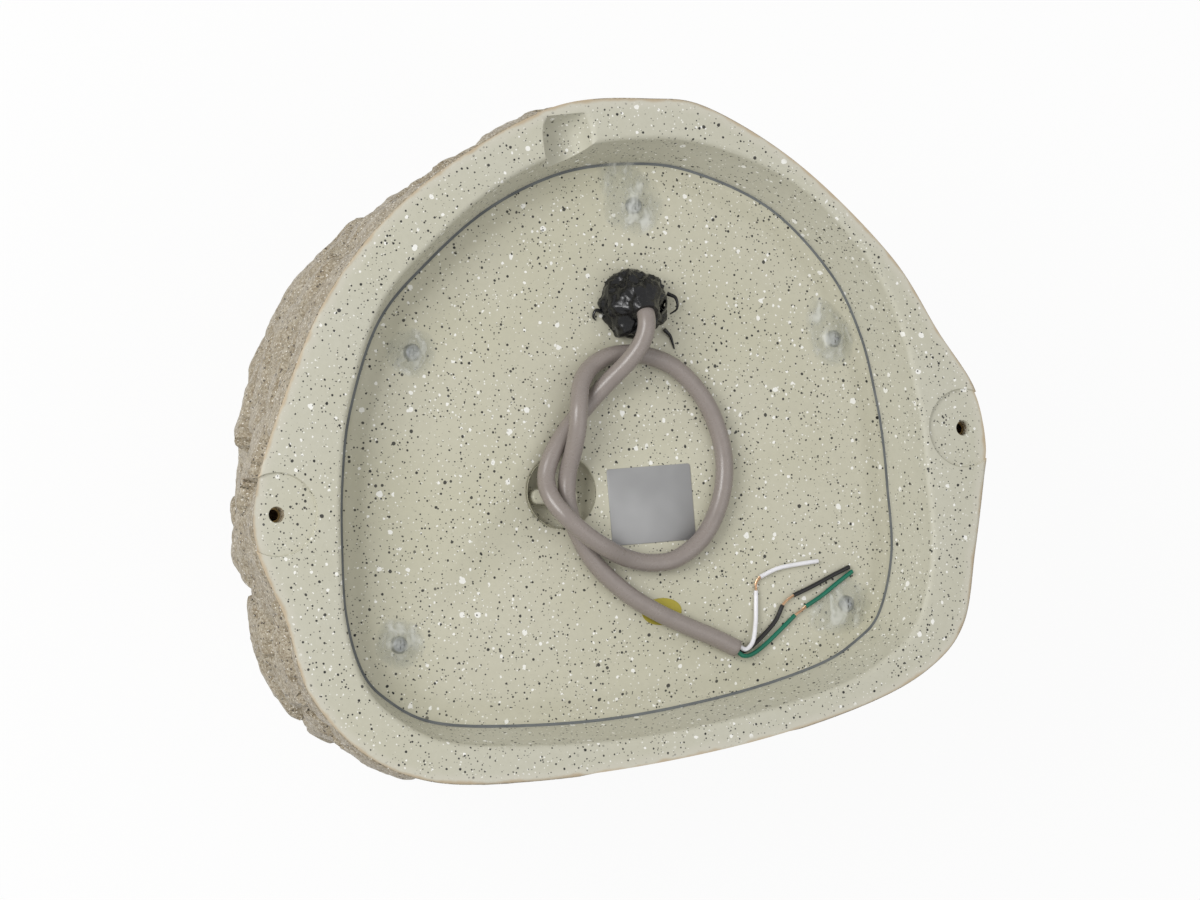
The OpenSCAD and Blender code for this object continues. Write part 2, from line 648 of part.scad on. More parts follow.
module driver_basket() {
    windows = 6;
    inner = driver_hole_r - 4;
    color([0.16, 0.16, 0.17]) at_face() difference() {
        rotate_extrude($fn = 96) polygon([
            [surround_out, z_flange_top], [driver_r, z_flange_top], [driver_r, z_flange],
            [driver_hole_r - 1, z_flange], [driver_hole_r - 3, z_flange - 8],
            [spider_out + 9, spider_z + 3], [spider_out + 4, spider_z - 2],
            [spider_out + 3, z_gap_top], [gap_r + 3, z_gap_top], [gap_r + 3, z_gap_top + 1.6],
            [spider_out - 1, z_gap_top + 1.6], [spider_out - 1, spider_z],
            [spider_out + 6.5, spider_z + 4.5], [driver_hole_r - 5, z_flange - 7],
            [driver_hole_r - 6, z_flange + 1], [surround_out, z_flange + 1]
        ]);
        for (k = [0:windows - 1]) rotate([0, 0, k * 360 / windows]) {
            translate([spider_out + 2, -13, spider_z + 7])
                cube([driver_r, 26, z_flange - 10 - spider_z - 7]);
        }
        for (a = screw_angles) rotate([0, 0, a]) translate([driver_screw_pcr, 0, z_flange - cut])
            cylinder(r = driver_screw_r + screw_play, h = flange_t + 2 * cut, $fn = 24);
    }
}
// Half-round rubber roll between the frame and the cone
module cone_surround() {
    mid = (surround_in + surround_out) / 2;
    r = (surround_out - surround_in) / 2 - 1;
    z = z_flange + 1.2;
    color([0.07, 0.07, 0.07]) at_face() rotate_extrude($fn = 96) polygon(concat(
        [[surround_out - 0.3, z], [surround_out - 0.3, z + 0.9]],
        [for (a = [0:15:180]) [mid + (r + 0.4) * cos(a), z + 0.9 + r * sin(a)]],
        [[surround_in, z + 0.9], [surround_in, z]],
        [for (a = [180:-15:0]) [mid + (r - 0.5) * cos(a), z + (r - 0.1) * sin(a)]]
    ));
}
module woofer_cone() {
    z = z_flange + 1.1;
    color([0.13, 0.13, 0.13]) at_face() rotate_extrude($fn = 96) polygon([
        [surround_in + 2.5, z], [surround_in - 1, z], [38, z - 16], [coil_r + 0.8, spider_z + 3],
        [coil_r + 0.8, spider_z + 1.8], [39, z - 17.5], [surround_in - 0.5, z - 0.9],
        [surround_in + 2.5, z - 0.9]
    ]);
}
// Corrugated centring disc
module spider() {
    inner = coil_r + 0.8;
    span_r = spider_out - 1.5 - inner;
    waves = 4;
    top = [for (k = [0:32]) [inner + span_r * k / 32, spider_z + 0.7 * sin(360 * waves * k / 32)]];
    color([0.78, 0.62, 0.3]) at_face() rotate_extrude($fn = 64)
        polygon(concat(top, [for (k = [32:-1:0]) top[k] - [0, 0.6]]));
}
module voice_coil() {
    color([0.72, 0.45, 0.2]) at_face() translate([0, 0, z_magnet + 9]) difference() {
        cylinder(r = coil_r + 0.5, h = spider_z + 2.5 - z_magnet - 9, $fn = 64);
        translate([0, 0, -cut]) cylinder(r = coil_r, h = 60, $fn = 64);
    }
}
module plate_ring(z, outer, inner, h) {
    at_face() translate([0, 0, z]) difference() {
        cylinder(r = outer, h = h, $fn = 96);
        translate([0, 0, -cut]) cylinder(r = inner, h = h + 2 * cut, $fn = 64);
    }
}
module top_plate() { color([0.6, 0.61, 0.62]) plate_ring(z_plate, magnet_r - 3, gap_r, plate_t); }
module magnet() { color([0.14, 0.14, 0.15]) plate_ring(z_magnet, magnet_r, gap_r + 5, magnet_t); }
module back_plate() {
    color([0.6, 0.61, 0.62]) at_face() translate([0, 0, z_back]) rotate_extrude($fn = 96) polygon([
        [0, 0], [magnet_r - 5, 0], [magnet_r - 3, 2], [magnet_r - 3, back_t], [pole_r, back_t],
        [pole_r, back_t + magnet_t + plate_t], [0, back_t + magnet_t + plate_t]
    ]);
}
// Small high-note unit on a post from the pole, with a three-armed guard
tweeter_z = z_flange - 2;
module tweeter_bridge() {
    z_pole = z_gap_top;
    color([0.18, 0.18, 0.19]) at_face() translate([0, 0, z_pole])
        cylinder(r = 6, h = tweeter_z - 7 - z_pole, $fn = 48);
}
module tweeter() {
    color([0.11, 0.11, 0.12]) at_face() translate([0, 0, tweeter_z - 7]) rotate_extrude($fn = 64)
        polygon(concat(
            [[0, 0], [14, 0], [20, 7], [20, 8.5], [13.5, 6.5], [12, 6.5]],
            [for (a = [10:20:90]) [11 * cos(a), 5.5 + 4 * sin(a)]]
        ));
}
// Terminal strip on the side of the driver's frame
terminal_angle = 90;
strip_out = 4.6;
strip_t = 2;
module terminal_strip() {
    color([0.45, 0.3, 0.16]) at_face() rotate([0, 0, terminal_angle])
        translate([spider_out + strip_out, -9, z_gap_top + 0.5]) cube([strip_t, 18, 9]);
}
module driver_screws() {
    color([0.12, 0.12, 0.12]) at_face() for (a = screw_angles) rotate([0, 0, a])
        translate([driver_screw_pcr, 0, z_flange_top])
            screw(driver_screw_r, 3.4, flange_t + gasket_h + baffle_t - 3);
}

// Line transformer, hung from two posts of the base panel
z_hang = z_under - post_h;
module transformer_frame() {
    ear = 2;
    color([0.62, 0.63, 0.64]) translate([trafo_at[0], trafo_at[1], z_hang]) difference() {
        union() {
            translate([-trafo_post - 7, -7, -ear]) cube([2 * trafo_post + 14, 14, ear]);
            for (s = [-1, 1]) translate([s * (trafo_w / 2 + 1) - 1, -7, -trafo_h])
                cube([2, 14, trafo_h - ear]);
        }
        for (s = [-1, 1]) translate([s * trafo_post, 0, -ear - cut])
            cylinder(r = pilot_r + screw_play + 0.2, h = ear + 2 * cut, $fn = 24);
    }
}
coil_w = trafo_w * 0.62;
coil_reach = 11;
module transformer_core() {
    leg = trafo_w / 6;
    color([0.32, 0.33, 0.36]) translate([trafo_at[0], trafo_at[1], z_hang - 2]) difference() {
        translate([-trafo_w / 2, -trafo_t / 2, -trafo_h]) cube([trafo_w, trafo_t, trafo_h]);
        for (s = [-1, 1]) translate([s * trafo_w / 4 - leg / 2 * 0.95, -trafo_t / 2 - cut,
            -trafo_h + leg]) cube([leg * 0.95, trafo_t + 2 * cut, trafo_h - 2 * leg]);
    }
}
module transformer_coil() {
    leg = trafo_w / 6;
    h = trafo_h - 2 * leg - 0.4;
    slot = leg * 0.95;
    out = trafo_w / 4 + slot / 2 - 0.2;
    inn = trafo_w / 4 - slot / 2 + 0.1;
    color([0.75, 0.68, 0.4]) translate([trafo_at[0], trafo_at[1], z_hang - 2 - trafo_h + leg + 0.2])
        linear_extrude(h) difference() {
            hull() for (x = [-1, 1]) for (y = [-1, 1])
                translate([x * (out - 2), y * (trafo_t / 2 + coil_reach - 2)]) circle(r = 2, $fn = 32);
            square([2 * inn, trafo_t + 0.4], center = true);
        }
}
module crossover_board() {
    color([0.2, 0.36, 0.2]) translate([board_at[0], board_at[1], z_hang - board_size[2]])
        difference() {
            translate([-board_size[0] / 2, -board_size[1] / 2, 0]) cube(board_size);
            for (s = [-1, 1]) translate([s * board_post, 0, -cut])
                cylinder(r = pilot_r + screw_play, h = 3 * cut + 1, $fn = 24);
        }
}
module crossover_capacitor() {
    color([0.1, 0.13, 0.3])
        translate([board_at[0] - cap_len / 2, board_at[1] - 8, z_hang - board_size[2] - cap_r])
            rotate([0, 90, 0]) rotate_extrude($fn = 48) polygon([
                [0, 0], [cap_r - 1, 0], [cap_r, 1], [cap_r, 3], [cap_r - 0.6, 4], [cap_r, 5],
                [cap_r, cap_len - 1], [cap_r - 1, cap_len], [0, cap_len]
            ]);
}
module inner_screws() {
    trafo_ears = [inner_posts[0], inner_posts[1]];
    board_ears = [inner_posts[2], inner_posts[3]];
    color([0.7, 0.71, 0.72]) {
        at_each(trafo_ears, z_hang - 2) mirror([0, 0, 1]) screw(pilot_r, 2.9, pilot_depth + 1);
        at_each(board_ears, z_hang - board_size[2]) mirror([0, 0, 1])
            screw(pilot_r, 2.9, pilot_depth + 1);
    }
}

// Wiring inside the housing
inner_cable_route = [
    [8, 61, 0], [8, 61, -7], [8, 61, -14], [5, 60, -24], [-2, 56, -33], [-11, 50, -38]
];
module inner_cable() {
    color([0.57, 0.54, 0.52])
        tube(route([for (p = inner_cable_route) p + [0, 0, z_field + cable_h]], 3),
            cable_d / 2, 10);
}
lead_r = 0.9;
lead_play = 0.2;
lead_start = [-19, -9.5];
lead_apart = 5;
// Middle stretch of each lead, above the magnet
lead_red_route = [[27, 26, -20], [23, 8, -22], [20, -15, -22], [18, -38, -23]];
lead_black_route = [[24, 30, -20], [17, 10, -22], [12, -15, -22], [9, -38, -23]];
// From the board's underside (side 1 or -1) over the driver's magnet to the terminal strip
function lead_route(middle_pts, side) =
    let (a = board_at + lead_start - [0, side * lead_apart / 2])
    let (top = z_hang - board_size[2] - lead_play, strip_h = strip_out + strip_t + lead_play)
    let (tip = from_face([side * lead_apart, spider_out + strip_h, z_gap_top + 5]))
    concat(
        [[a[0], a[1], top], [a[0], a[1], top - 5]],
        [for (p = middle_pts) p + [0, 0, z_under]],
        [tip + [0, 10, 9], tip + [0, 2.5, 4], tip]
    );
module lead(middle_pts, side) { tube(route(lead_route(middle_pts, side), 2), lead_r, 8); }
module lead_red() { color([0.7, 0.08, 0.07]) lead(lead_red_route, 1); }
module lead_black() { color([0.08, 0.08, 0.08]) lead(lead_black_route, -1); }

rock_shell();
base_panel();
panel_gasket();
panel_screws();
screw_sealant();
insert_left();
insert_right();
cable_seal();
cable();
white_core();
black_core();
green_core();
bare_strands();
rating_label();
inspection_sticker();
grille_ring();
grille_cloth();
speaker_grille();
driver_gasket();
driver_basket();
cone_surround();
woofer_cone();
spider();
voice_coil();
top_plate();
magnet();
back_plate();
tweeter_bridge();
tweeter();
terminal_strip();
driver_screws();
transformer_core();
transformer_coil();
transformer_frame();
crossover_board();
crossover_capacitor();
inner_screws();
inner_cable();
lead_red();
lead_black();
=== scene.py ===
"""Garden loudspeaker moulded as an artificial rock, lying on its crown with its base panel up.

Sizes are in millimetres and are turned into metres when a mesh is made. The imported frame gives
the pieces that stay, and every piece made here stands where the frame has it.
"""

from __future__ import annotations

import logging
import math
from dataclasses import dataclass, field
from enum import Enum
from typing import Any, Sequence

import bpy
import numpy as np
from mathutils import Matrix, Vector

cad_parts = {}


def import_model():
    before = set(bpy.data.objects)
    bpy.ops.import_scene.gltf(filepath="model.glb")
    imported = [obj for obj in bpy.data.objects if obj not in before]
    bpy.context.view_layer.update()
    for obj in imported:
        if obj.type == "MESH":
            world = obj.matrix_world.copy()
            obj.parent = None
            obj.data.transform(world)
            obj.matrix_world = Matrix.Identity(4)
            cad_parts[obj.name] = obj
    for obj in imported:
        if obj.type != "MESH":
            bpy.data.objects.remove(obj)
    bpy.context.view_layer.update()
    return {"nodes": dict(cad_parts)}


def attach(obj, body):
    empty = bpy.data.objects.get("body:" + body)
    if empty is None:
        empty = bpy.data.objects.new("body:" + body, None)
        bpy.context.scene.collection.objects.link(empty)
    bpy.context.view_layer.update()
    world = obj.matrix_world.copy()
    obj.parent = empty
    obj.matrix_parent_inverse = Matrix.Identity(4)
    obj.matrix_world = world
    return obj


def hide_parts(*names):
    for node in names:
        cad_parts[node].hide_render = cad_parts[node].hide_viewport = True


MM = 0.001
BODY = "root"
EXIT = (8.0, 61.0)  # where the cable leaves the panel, in plan
SAMPLE = 0.05  # step along an outline, counted in its points
MERGED_SHARP = 45  # angle in degrees from which merged meshes keep an edge sharp
Array = np.ndarray
Pair = tuple[float, float]
Triple = tuple[float, float, float]
Colour = tuple[float, float, float, float]
log = logging.getLogger("rock_loudspeaker")


def linear(red: int, green: int, blue: int) -> Colour:
    """Scene-linear colour of a display colour.

    Args:
        red, green, blue: display values from 0 to 255.

    Returns:
        The colour with full alpha.
    """
    shares = np.array([red, green, blue]) / 255
    values = np.where(shares <= 0.04045, shares / 12.92, ((shares + 0.055) / 1.055) ** 2.4)
    return (*(float(v) for v in values), 1.0)


def shaded(colour: Colour, share: float) -> Colour:
    """A colour made darker or lighter by a share, with full alpha."""
    return (*(min(1.0, share * c) for c in colour[:3]), 1.0)


# Shader maths


class Value:
    """One output of a shader node, with the operators that the finishes use."""

    def __init__(self, graph: Graph, socket: bpy.types.NodeSocket) -> None:
        """Keeps the graph that makes further nodes and the socket that this value wraps."""
        self.graph = graph
        self.socket = socket

    def _math(self, operation: str, first: Any, second: Any) -> Value:
        """Adds a Math node on two values or numbers and returns its result."""
        made = self.graph.node("ShaderNodeMath", {"operation": operation}, {0: first, 1: second})
        return Value(self.graph, made.outputs[0])

    def __add__(self, other: Value | float) -> Value:
        """This value plus another."""
        return self._math("ADD", self, other)

    def __radd__(self, other: float) -> Value:
        """A number plus this value."""
        return self._math("ADD", other, self)

    def __sub__(self, other: Value | float) -> Value:
        """This value less another."""
        return self._math("SUBTRACT", self, other)

    def __rsub__(self, other: float) -> Value:
        """A number less this value."""
        return self._math("SUBTRACT", other, self)

    def __mul__(self, other: Value | float) -> Value:
        """This value times another."""
        return self._math("MULTIPLY", self, other)

    def __rmul__(self, other: float) -> Value:
        """A number times this value."""
        return self._math("MULTIPLY", other, self)

    def at_least(self, other: Value | float) -> Value:
        """The larger of this value and another."""
        return self._math("MAXIMUM", self, other)

    def above(self, other: Value | float) -> Value:
        """1 where this value is above another, and 0 elsewhere."""
        return self._math("GREATER_THAN", self, other)

    def step(self, low: float, high: float) -> Value:
        """Smooth step from 0 at low to 1 at high; low may be the larger one.

        Args:
            low: value at which the step begins.
            high: value at which the step ends.

        Returns:
            The step's value.
        """
        made = self.graph.node(
            "ShaderNodeMapRange",
            {"interpolation_type": "SMOOTHSTEP"},
            {"Value": self, "From Min": low, "From Max": high, "To Min": 0.0, "To Max": 1.0},
        )
        return Value(self.graph, made.outputs["Result"])


class Graph:
    """A material and its node tree."""

    def __init__(self, name: str) -> None:
        """Makes an empty material of the given name."""
        self.material = bpy.data.materials.new(name)
        self.material.use_nodes = True
        self.tree = self.material.node_tree
        self.tree.nodes.clear()

    def node(
        self, kind: str, settings: dict[str, Any] | None = None, sockets: dict | None = None
    ) -> bpy.types.Node:
        """Adds a node, sets its settings first and then fills its sockets.

        Args:
            kind: the node's type.
            settings: attributes of the node, such as a Math node's operation.
            sockets: values or links by socket name or number.

        Returns:
            The node.
        """
        made = self.tree.nodes.new(kind)
        for name, value in (settings or {}).items():
            setattr(made, name, value)
        for key, value in (sockets or {}).items():
            socket = made.inputs[key]
            if isinstance(value, Value):
                self.tree.links.new(value.socket, socket)
            elif isinstance(value, bpy.types.NodeSocket):
                self.tree.links.new(value, socket)
            else:
                socket.default_value = value
        return made

    def place(self) -> Value:
        """Object coordinates, in metres."""
        return Value(self, self.node("ShaderNodeTexCoord").outputs["Object"])

    def attribute(self, name: str) -> Value:
        """A number that the mesh holds at its points."""
        made = self.node("ShaderNodeAttribute", {"attribute_name": name})
        return Value(self, made.outputs["Fac"])

    def shifted(self, place: Value, by: Triple, stretch: Triple = (1.0, 1.0, 1.0)) -> Value:
        """Coordinates moved and stretched, so that patterns don't line up."""
        made = self.node("ShaderNodeMapping", None, {"Vector": place, "Location": by, "Scale": stretch})
        return Value(self, made.outputs["Vector"])

    def noise(self, place: Value, size: float, detail: float = 2.0, rough: float = 0.5) -> Value:
        """Cloudy noise around 0.5.

        Args:
            place: the coordinates.
            size: width of a cloud in millimetres.
            detail: number of finer layers.
            rough: strength of the finer layers.

        Returns:
            The noise's value.
        """
        made = self.node(
            "ShaderNodeTexNoise",
            None,
            {"Vector": place, "Scale": 1 / (size * MM), "Detail": detail, "Roughness": rough},
        )
        return Value(self, made.outputs["Fac"])

    def cells(self, place: Value, size: float) -> tuple[Value, Value, Value, Value]:
        """Cells of about one size: distance from the cell's middle in millimetres, three picks."""
        made = self.node("ShaderNodeTexVoronoi", None, {"Vector": place, "Scale": 1 / (size * MM)})
        parts = self.node("ShaderNodeSeparateColor", None, {0: made.outputs["Color"]})
        picks = [Value(self, parts.outputs[k]) for k in range(3)]
        return (Value(self, made.outputs["Distance"]) * size, *picks)

    def mix(self, share: Value | float, first: Any, second: Any) -> Value:
        """Colour between two colours."""
        made = self.node(
            "ShaderNodeMix", {"data_type": "RGBA"}, {0: share, 6: first, 7: second}
        )
        return Value(self, made.outputs[2])

    def wobbled(self, place: Value, size: float, reach: float) -> Value:
        """Coordinates pushed about by noise, for ragged edges.

        Args:
            place: the coordinates.
            size: width of a push in millimetres.
            reach: length of a push in millimetres.

        Returns:
            The pushed coordinates.
        """
        push = self.node("ShaderNodeTexNoise", None, {"Vector": place, "Scale": 1 / (size * MM)})
        centred = self.node(
            "ShaderNodeVectorMath",
            {"operation": "SUBTRACT"},
            {0: push.outputs["Color"], 1: (0.5, 0.5, 0.5)},
        )
        scaled = self.node(
            "ShaderNodeVectorMath",
            {"operation": "SCALE"},
            {0: centred.outputs[0], "Scale": 2 * reach * MM},
        )
        moved = self.node(
            "ShaderNodeVectorMath", {"operation": "ADD"}, {0: place, 1: scaled.outputs[0]}
        )
        return Value(self, moved.outputs[0])

    def bump(self, height: Value, depth: float, strength: float = 1.0) -> Value:
        """Normal of a relief.

        Args:
            height: the relief's height from 0 to 1.
            depth: height of the relief in millimetres.
            strength: share of the relief that counts.

        Returns:
            The normal.
        """
        made = self.node(
            "ShaderNodeBump", None, {"Height": height, "Distance": depth * MM, "Strength": strength}
        )
        return Value(self, made.outputs["Normal"])

    def finish(self, sockets: dict[str, Any]) -> bpy.types.Material:
        """Closes the graph with a Principled shader and its output.

        Args:
            sockets: values or links of the shader's sockets.

        Returns:
            The material.
        """
        shader = self.node("ShaderNodeBsdfPrincipled", None, sockets)
        self.node("ShaderNodeOutputMaterial", None, {"Surface": shader.outputs[0]})
        return self.material


# Finishes


@dataclass(frozen=True)
class Speckle:
    """One size of paint speckle: cell, radii, share of cells, colour and raggedness."""

    cell: float
    small: float
    large: float
    share: float
    colour: Colour
    ragged: float = 0.15


@dataclass(frozen=True)
class SpeckledResin:
    """Pale moulded resin with black and white paint speckles all through."""

    name: str = "speckled_resin"
    ground: Colour = linear(192, 190, 174)
    warm: Colour = linear(187, 184, 163)
    speckles: tuple[Speckle, ...] = (
        Speckle(1.9, 0.24, 0.46, 0.7, linear(230, 229, 221), 0.25),
        Speckle(3.6, 0.36, 0.82, 0.6, linear(238, 237, 231), 0.5),
        Speckle(7.5, 0.7, 1.5, 0.5, linear(236, 235, 229), 0.9),
        Speckle(1.8, 0.2, 0.34, 0.7, linear(96, 94, 84), 0.1),
        Speckle(2.0, 0.28, 0.48, 0.8, linear(14, 14, 15), 0.14),
        Speckle(3.0, 0.42, 0.7, 0.7, linear(6, 6, 7), 0.2),
        Speckle(8.0, 0.7, 0.95, 0.5, linear(10, 10, 11), 0.3),
    )

    def speckled(self, graph: Graph, place: Value, ground: Value, keep: Value | float) -> Value:
        """Lays every size of speckle over a ground colour.

        Args:
            graph: the material's graph.
            place: Object coordinates.
            ground: colour under the speckles.
            keep: share of the speckles that is kept at each place.

        Returns:
            The speckled colour.
        """
        colour = ground
        for number, speckle in enumerate(self.speckles):
            ragged = graph.wobbled(place, speckle.small * 3, speckle.ragged)
            spot = graph.shifted(ragged, (0.013 * number, 0.029 * number, 0.007 * number))
            away, size, chosen, tone = graph.cells(spot, speckle.cell)
            radius = size * size * (speckle.large - speckle.small) + speckle.small
            inside = (radius - away).step(-0.04, 0.1)
            there = inside * (chosen * (1 / speckle.share)).step(1.02, 0.98) * (tone * 0.12 + 0.88)
            colour = graph.mix(there * keep, colour, speckle.colour)
        return colour

    def ground_colour(self, graph: Graph, place: Value) -> Value:
        """Pale ground with a slow drift towards a warmer tone and faint mottling."""
        drift = graph.noise(place, 70.0, 2.0)
        mottle = graph.noise(graph.shifted(place, (0.2, 0.1, 0.3)), 3.0, 3.0)
        toned = graph.mix(drift.step(0.35, 0.7) * 0.55, self.ground, self.warm)
        return graph.mix(mottle.step(0.3, 0.75) * 0.22, toned, linear(178, 175, 156))

    def dress(self) -> bpy.types.Material:
        """Makes the material."""
        graph = Graph(self.name)
        place = graph.place()
        colour = self.speckled(graph, place, self.ground_colour(graph, place), 1.0)
        relief = graph.noise(place, 1.1, 3.0) * 0.6 + graph.noise(place, 9.0, 2.0) * 0.4
        rough = graph.noise(place, 14.0, 3.0) * 0.18 + 0.46
        normal = graph.bump(relief, 0.10, 0.6)
        return graph.finish({"Base Color": colour, "Roughness": rough, "Normal": normal})


@dataclass(frozen=True)
class RockAndResin:
    """Sand-coated rock outside and speckled resin on the rim and in the recess.

    The mesh holds two numbers at its points: rock, 1 on the rough face, and edge, the share of
    ten millimetres that a point of the rim lies in from its outer edge.
    """

    resin: SpeckledResin = SpeckledResin(name="rim_resin")
    sand: Colour = linear(156, 145, 123)
    brown: Colour = linear(126, 110, 86)
    cream: Colour = linear(190, 181, 162)
    tan: Colour = linear(178, 156, 124)

    def sand_colour(self, graph: Graph, place: Value) -> tuple[Value, Value]:
        """Sand grains in sand, brown and cream over slow shading, and their relief."""
        away, tone, pick, _ = graph.cells(graph.wobbled(place, 1.2, 0.25), 0.95)
        fine_away, fine_tone, fine_pick, _ = graph.cells(place, 0.5)
        patches = graph.noise(place, 16.0, 4.0, 0.6)
        colour = graph.mix(patches.step(0.34, 0.66) * 0.6, self.sand, linear(146, 132, 108))
        colour = graph.mix(tone.step(0.55, 1.0) * 0.75, colour, self.cream)
        colour = graph.mix((1 - tone).step(0.6, 1.0) * 0.7, colour, self.brown)
        colour = graph.mix(fine_tone.step(0.5, 1.0) * 0.4, colour, linear(190, 181, 162))
        colour = graph.mix(pick.above(0.965) * 0.85, colour, linear(70, 62, 52))
        colour = graph.mix(fine_pick.above(0.975) * 0.8, colour, linear(238, 234, 224))
        grains = (1 - away).step(0.2, 1.0) * 0.7 + (0.5 - fine_away).step(0.0, 0.5) * 0.3
        return colour, grains * 0.75 + patches * 0.25

    def dress(self) -> bpy.types.Material:
        """Makes the material."""
        graph = Graph("rock_and_resin")
        place = graph.place()
        ragged = graph.noise(place, 2.2, 3.0, 0.6)
        rock = (graph.attribute("rock") + (ragged - 0.5) * 0.5).step(0.42, 0.58)
        edge = graph.attribute("edge") + (graph.noise(place, 9.0, 3.0) - 0.5) * 0.35
        keep = edge.step(0.12, 0.4)
        ground = self.resin.ground_colour(graph, place)
        ground = graph.mix(edge.step(0.62, 0.2) * 0.6, ground, linear(200, 196, 182))
        ground = graph.mix(edge.step(0.2, 0.02) * 0.75, ground, self.tan)
        pale = self.resin.speckled(graph, place, ground, keep)
        sandy, grains = self.sand_colour(graph, place)
        colour = graph.mix(rock, pale, sandy)
        smooth_relief = graph.noise(place, 1.1, 3.0) * 0.1 + graph.noise(place, 9.0, 2.0) * 0.1
        relief = grains * rock + smooth_relief * (1 - rock)
        rough = rock * 0.42 + (1 - rock) * (graph.noise(place, 14.0, 3.0) * 0.18 + 0.46)
        normal = graph.bump(relief, 0.9, 0.75)
        return graph.finish({"Base Color": colour, "Roughness": rough, "Normal": normal})


@dataclass(frozen=True)
class Moulded:
    """Moulded plastic, rubber or paint with faint grain, smears and worn gloss."""

    name: str
    colour: Colour
    shade: Colour
    roughness: float = 0.5
    grain: float = 0.6
    depth: float = 0.03

    def dress(self) -> bpy.types.Material:
        """Makes the material."""
        graph = Graph(self.name)
        place = graph.place()
        cloud = graph.noise(place, 11.0, 3.0)
        grain = graph.noise(place, self.grain, 3.0, 0.6)
        colour = graph.mix(cloud.step(0.35, 0.7) * 0.6, self.colour, self.shade)
        return graph.finish({
            "Base Color": colour,
            "Roughness": cloud * 0.16 + (self.roughness - 0.08),
            "Normal": graph.bump(grain, self.depth, 0.6),
        })


@dataclass(frozen=True)
class Brushed:
    """Rolled or turned metal with fine lines along one direction."""

    name: str
    colour: Colour
    roughness: float = 0.3
    stretch: Triple = (0.06, 1.0, 1.0)

    def dress(self) -> bpy.types.Material:
        """Makes the material."""
        graph = Graph(self.name)
        place = graph.place()
        lines = graph.noise(graph.shifted(place, (0.0, 0.0, 0.0), self.stretch), 0.35, 3.0, 0.6)
        stain = graph.noise(place, 8.0, 3.0)
        dark = shaded(self.colour, 0.72)
        return graph.finish({
            "Base Color": graph.mix(stain.step(0.4, 0.8) * 0.5, self.colour, dark),
            "Roughness": lines * 0.2 + (self.roughness - 0.06),
            "Metallic": 1.0,
            "Normal": graph.bump(lines, 0.02, 0.5),
        })


@dataclass(frozen=True)
class Woven:
    """Cloth or taped winding: crossing threads as two waves, with painted shade in the gaps between them."""

    name: str
    colour: Colour
    shade: Colour
    pitch: float = 0.9

    def dress(self) -> bpy.types.Material:
        """Makes the material."""
        graph = Graph(self.name)
        place = graph.place()
        waves = []
        for direction in ("X", "Z"):
            made = graph.node(
                "ShaderNodeTexWave",
                {"wave_type": "BANDS", "bands_direction": direction},
                {"Vector": place, "Scale": 0.31 / (self.pitch * MM), "Distortion": 0.4},
            )
            waves.append(Value(graph, made.outputs["Fac"]))
        threads = waves[0].at_least(waves[1])
        # The darker colour goes where neither thread lies, in the gaps: painted shade.
        return graph.finish({
            "Base Color": graph.mix(threads, self.shade, self.colour),
            "Roughness": 0.86,
            "Normal": graph.bump(threads, 0.15, 0.6),
        })


@dataclass(frozen=True)
class CableJacket:
    """Soft grey jacket with faint rub marks and dust."""

    name: str = "cable_jacket"
    colour: Colour = linear(141, 132, 126)

    def dress(self) -> bpy.types.Material:
        """Makes the material."""
        graph = Graph(self.name)
        place = graph.place()
        rub = graph.noise(place, 5.0, 4.0, 0.6)
        dust = graph.noise(graph.shifted(place, (0.1, 0.3, 0.2)), 1.2, 3.0)
        colour = graph.mix(rub.step(0.42, 0.75) * 0.4, self.colour, linear(128, 119, 114))
        colour = graph.mix(dust.step(0.6, 0.85) * 0.35, colour, linear(158, 150, 144))
        return graph.finish({
            "Base Color": colour,
            "Roughness": rub * 0.16 + 0.2,
            "Normal": graph.bump(graph.noise(place, 0.7, 2.0), 0.03, 0.5),
        })


@dataclass(frozen=True)
class Putty:
    """Black sealing putty: glossy folds, dusty crests."""

    name: str = "black_putty"

    def dress(self) -> bpy.types.Material:
        """Makes the material."""
        graph = Graph(self.name)
        place = graph.place()
        folds = graph.noise(place, 4.5, 2.0, 0.5)
        dust = graph.noise(graph.shifted(place, (0.3, 0.1, 0.1)), 1.6, 4.0, 0.65)
        colour = graph.mix(dust.step(0.52, 0.8) * 0.55, linear(15, 15, 17), linear(62, 60, 59))
        return graph.finish({
            "Base Color": colour,
            "Roughness": dust.step(0.4, 0.75) * 0.35 + 0.16,
            "Normal": graph.bump(folds, 0.5, 0.6),
        })


@dataclass(frozen=True)
class ClearSealant:
    """Cloudy clear sealant, thicker and milkier in streaks."""

    name: str = "clear_sealant"

    def dress(self) -> bpy.types.Material:
        """Makes the material."""
        graph = Graph(self.name)
        place = graph.wobbled(graph.place(), 12.0, 7.0)
        streaks = graph.noise(graph.shifted(place, (0.0, 0.0, 0.0), (1.0, 0.3, 1.0)), 5.0, 2.0, 0.5)
        milk = graph.attribute("milk")
        return graph.finish({
            "Base Color": graph.mix(streaks.step(0.45, 0.75), linear(196, 197, 184), linear(236, 237, 230)),
            "Roughness": streaks * 0.3 + 0.12,
            "Alpha": (streaks.step(0.35, 0.7) * 0.34 + 0.16) * milk,
            "Normal": graph.bump(streaks, 0.5, 0.5),
        })


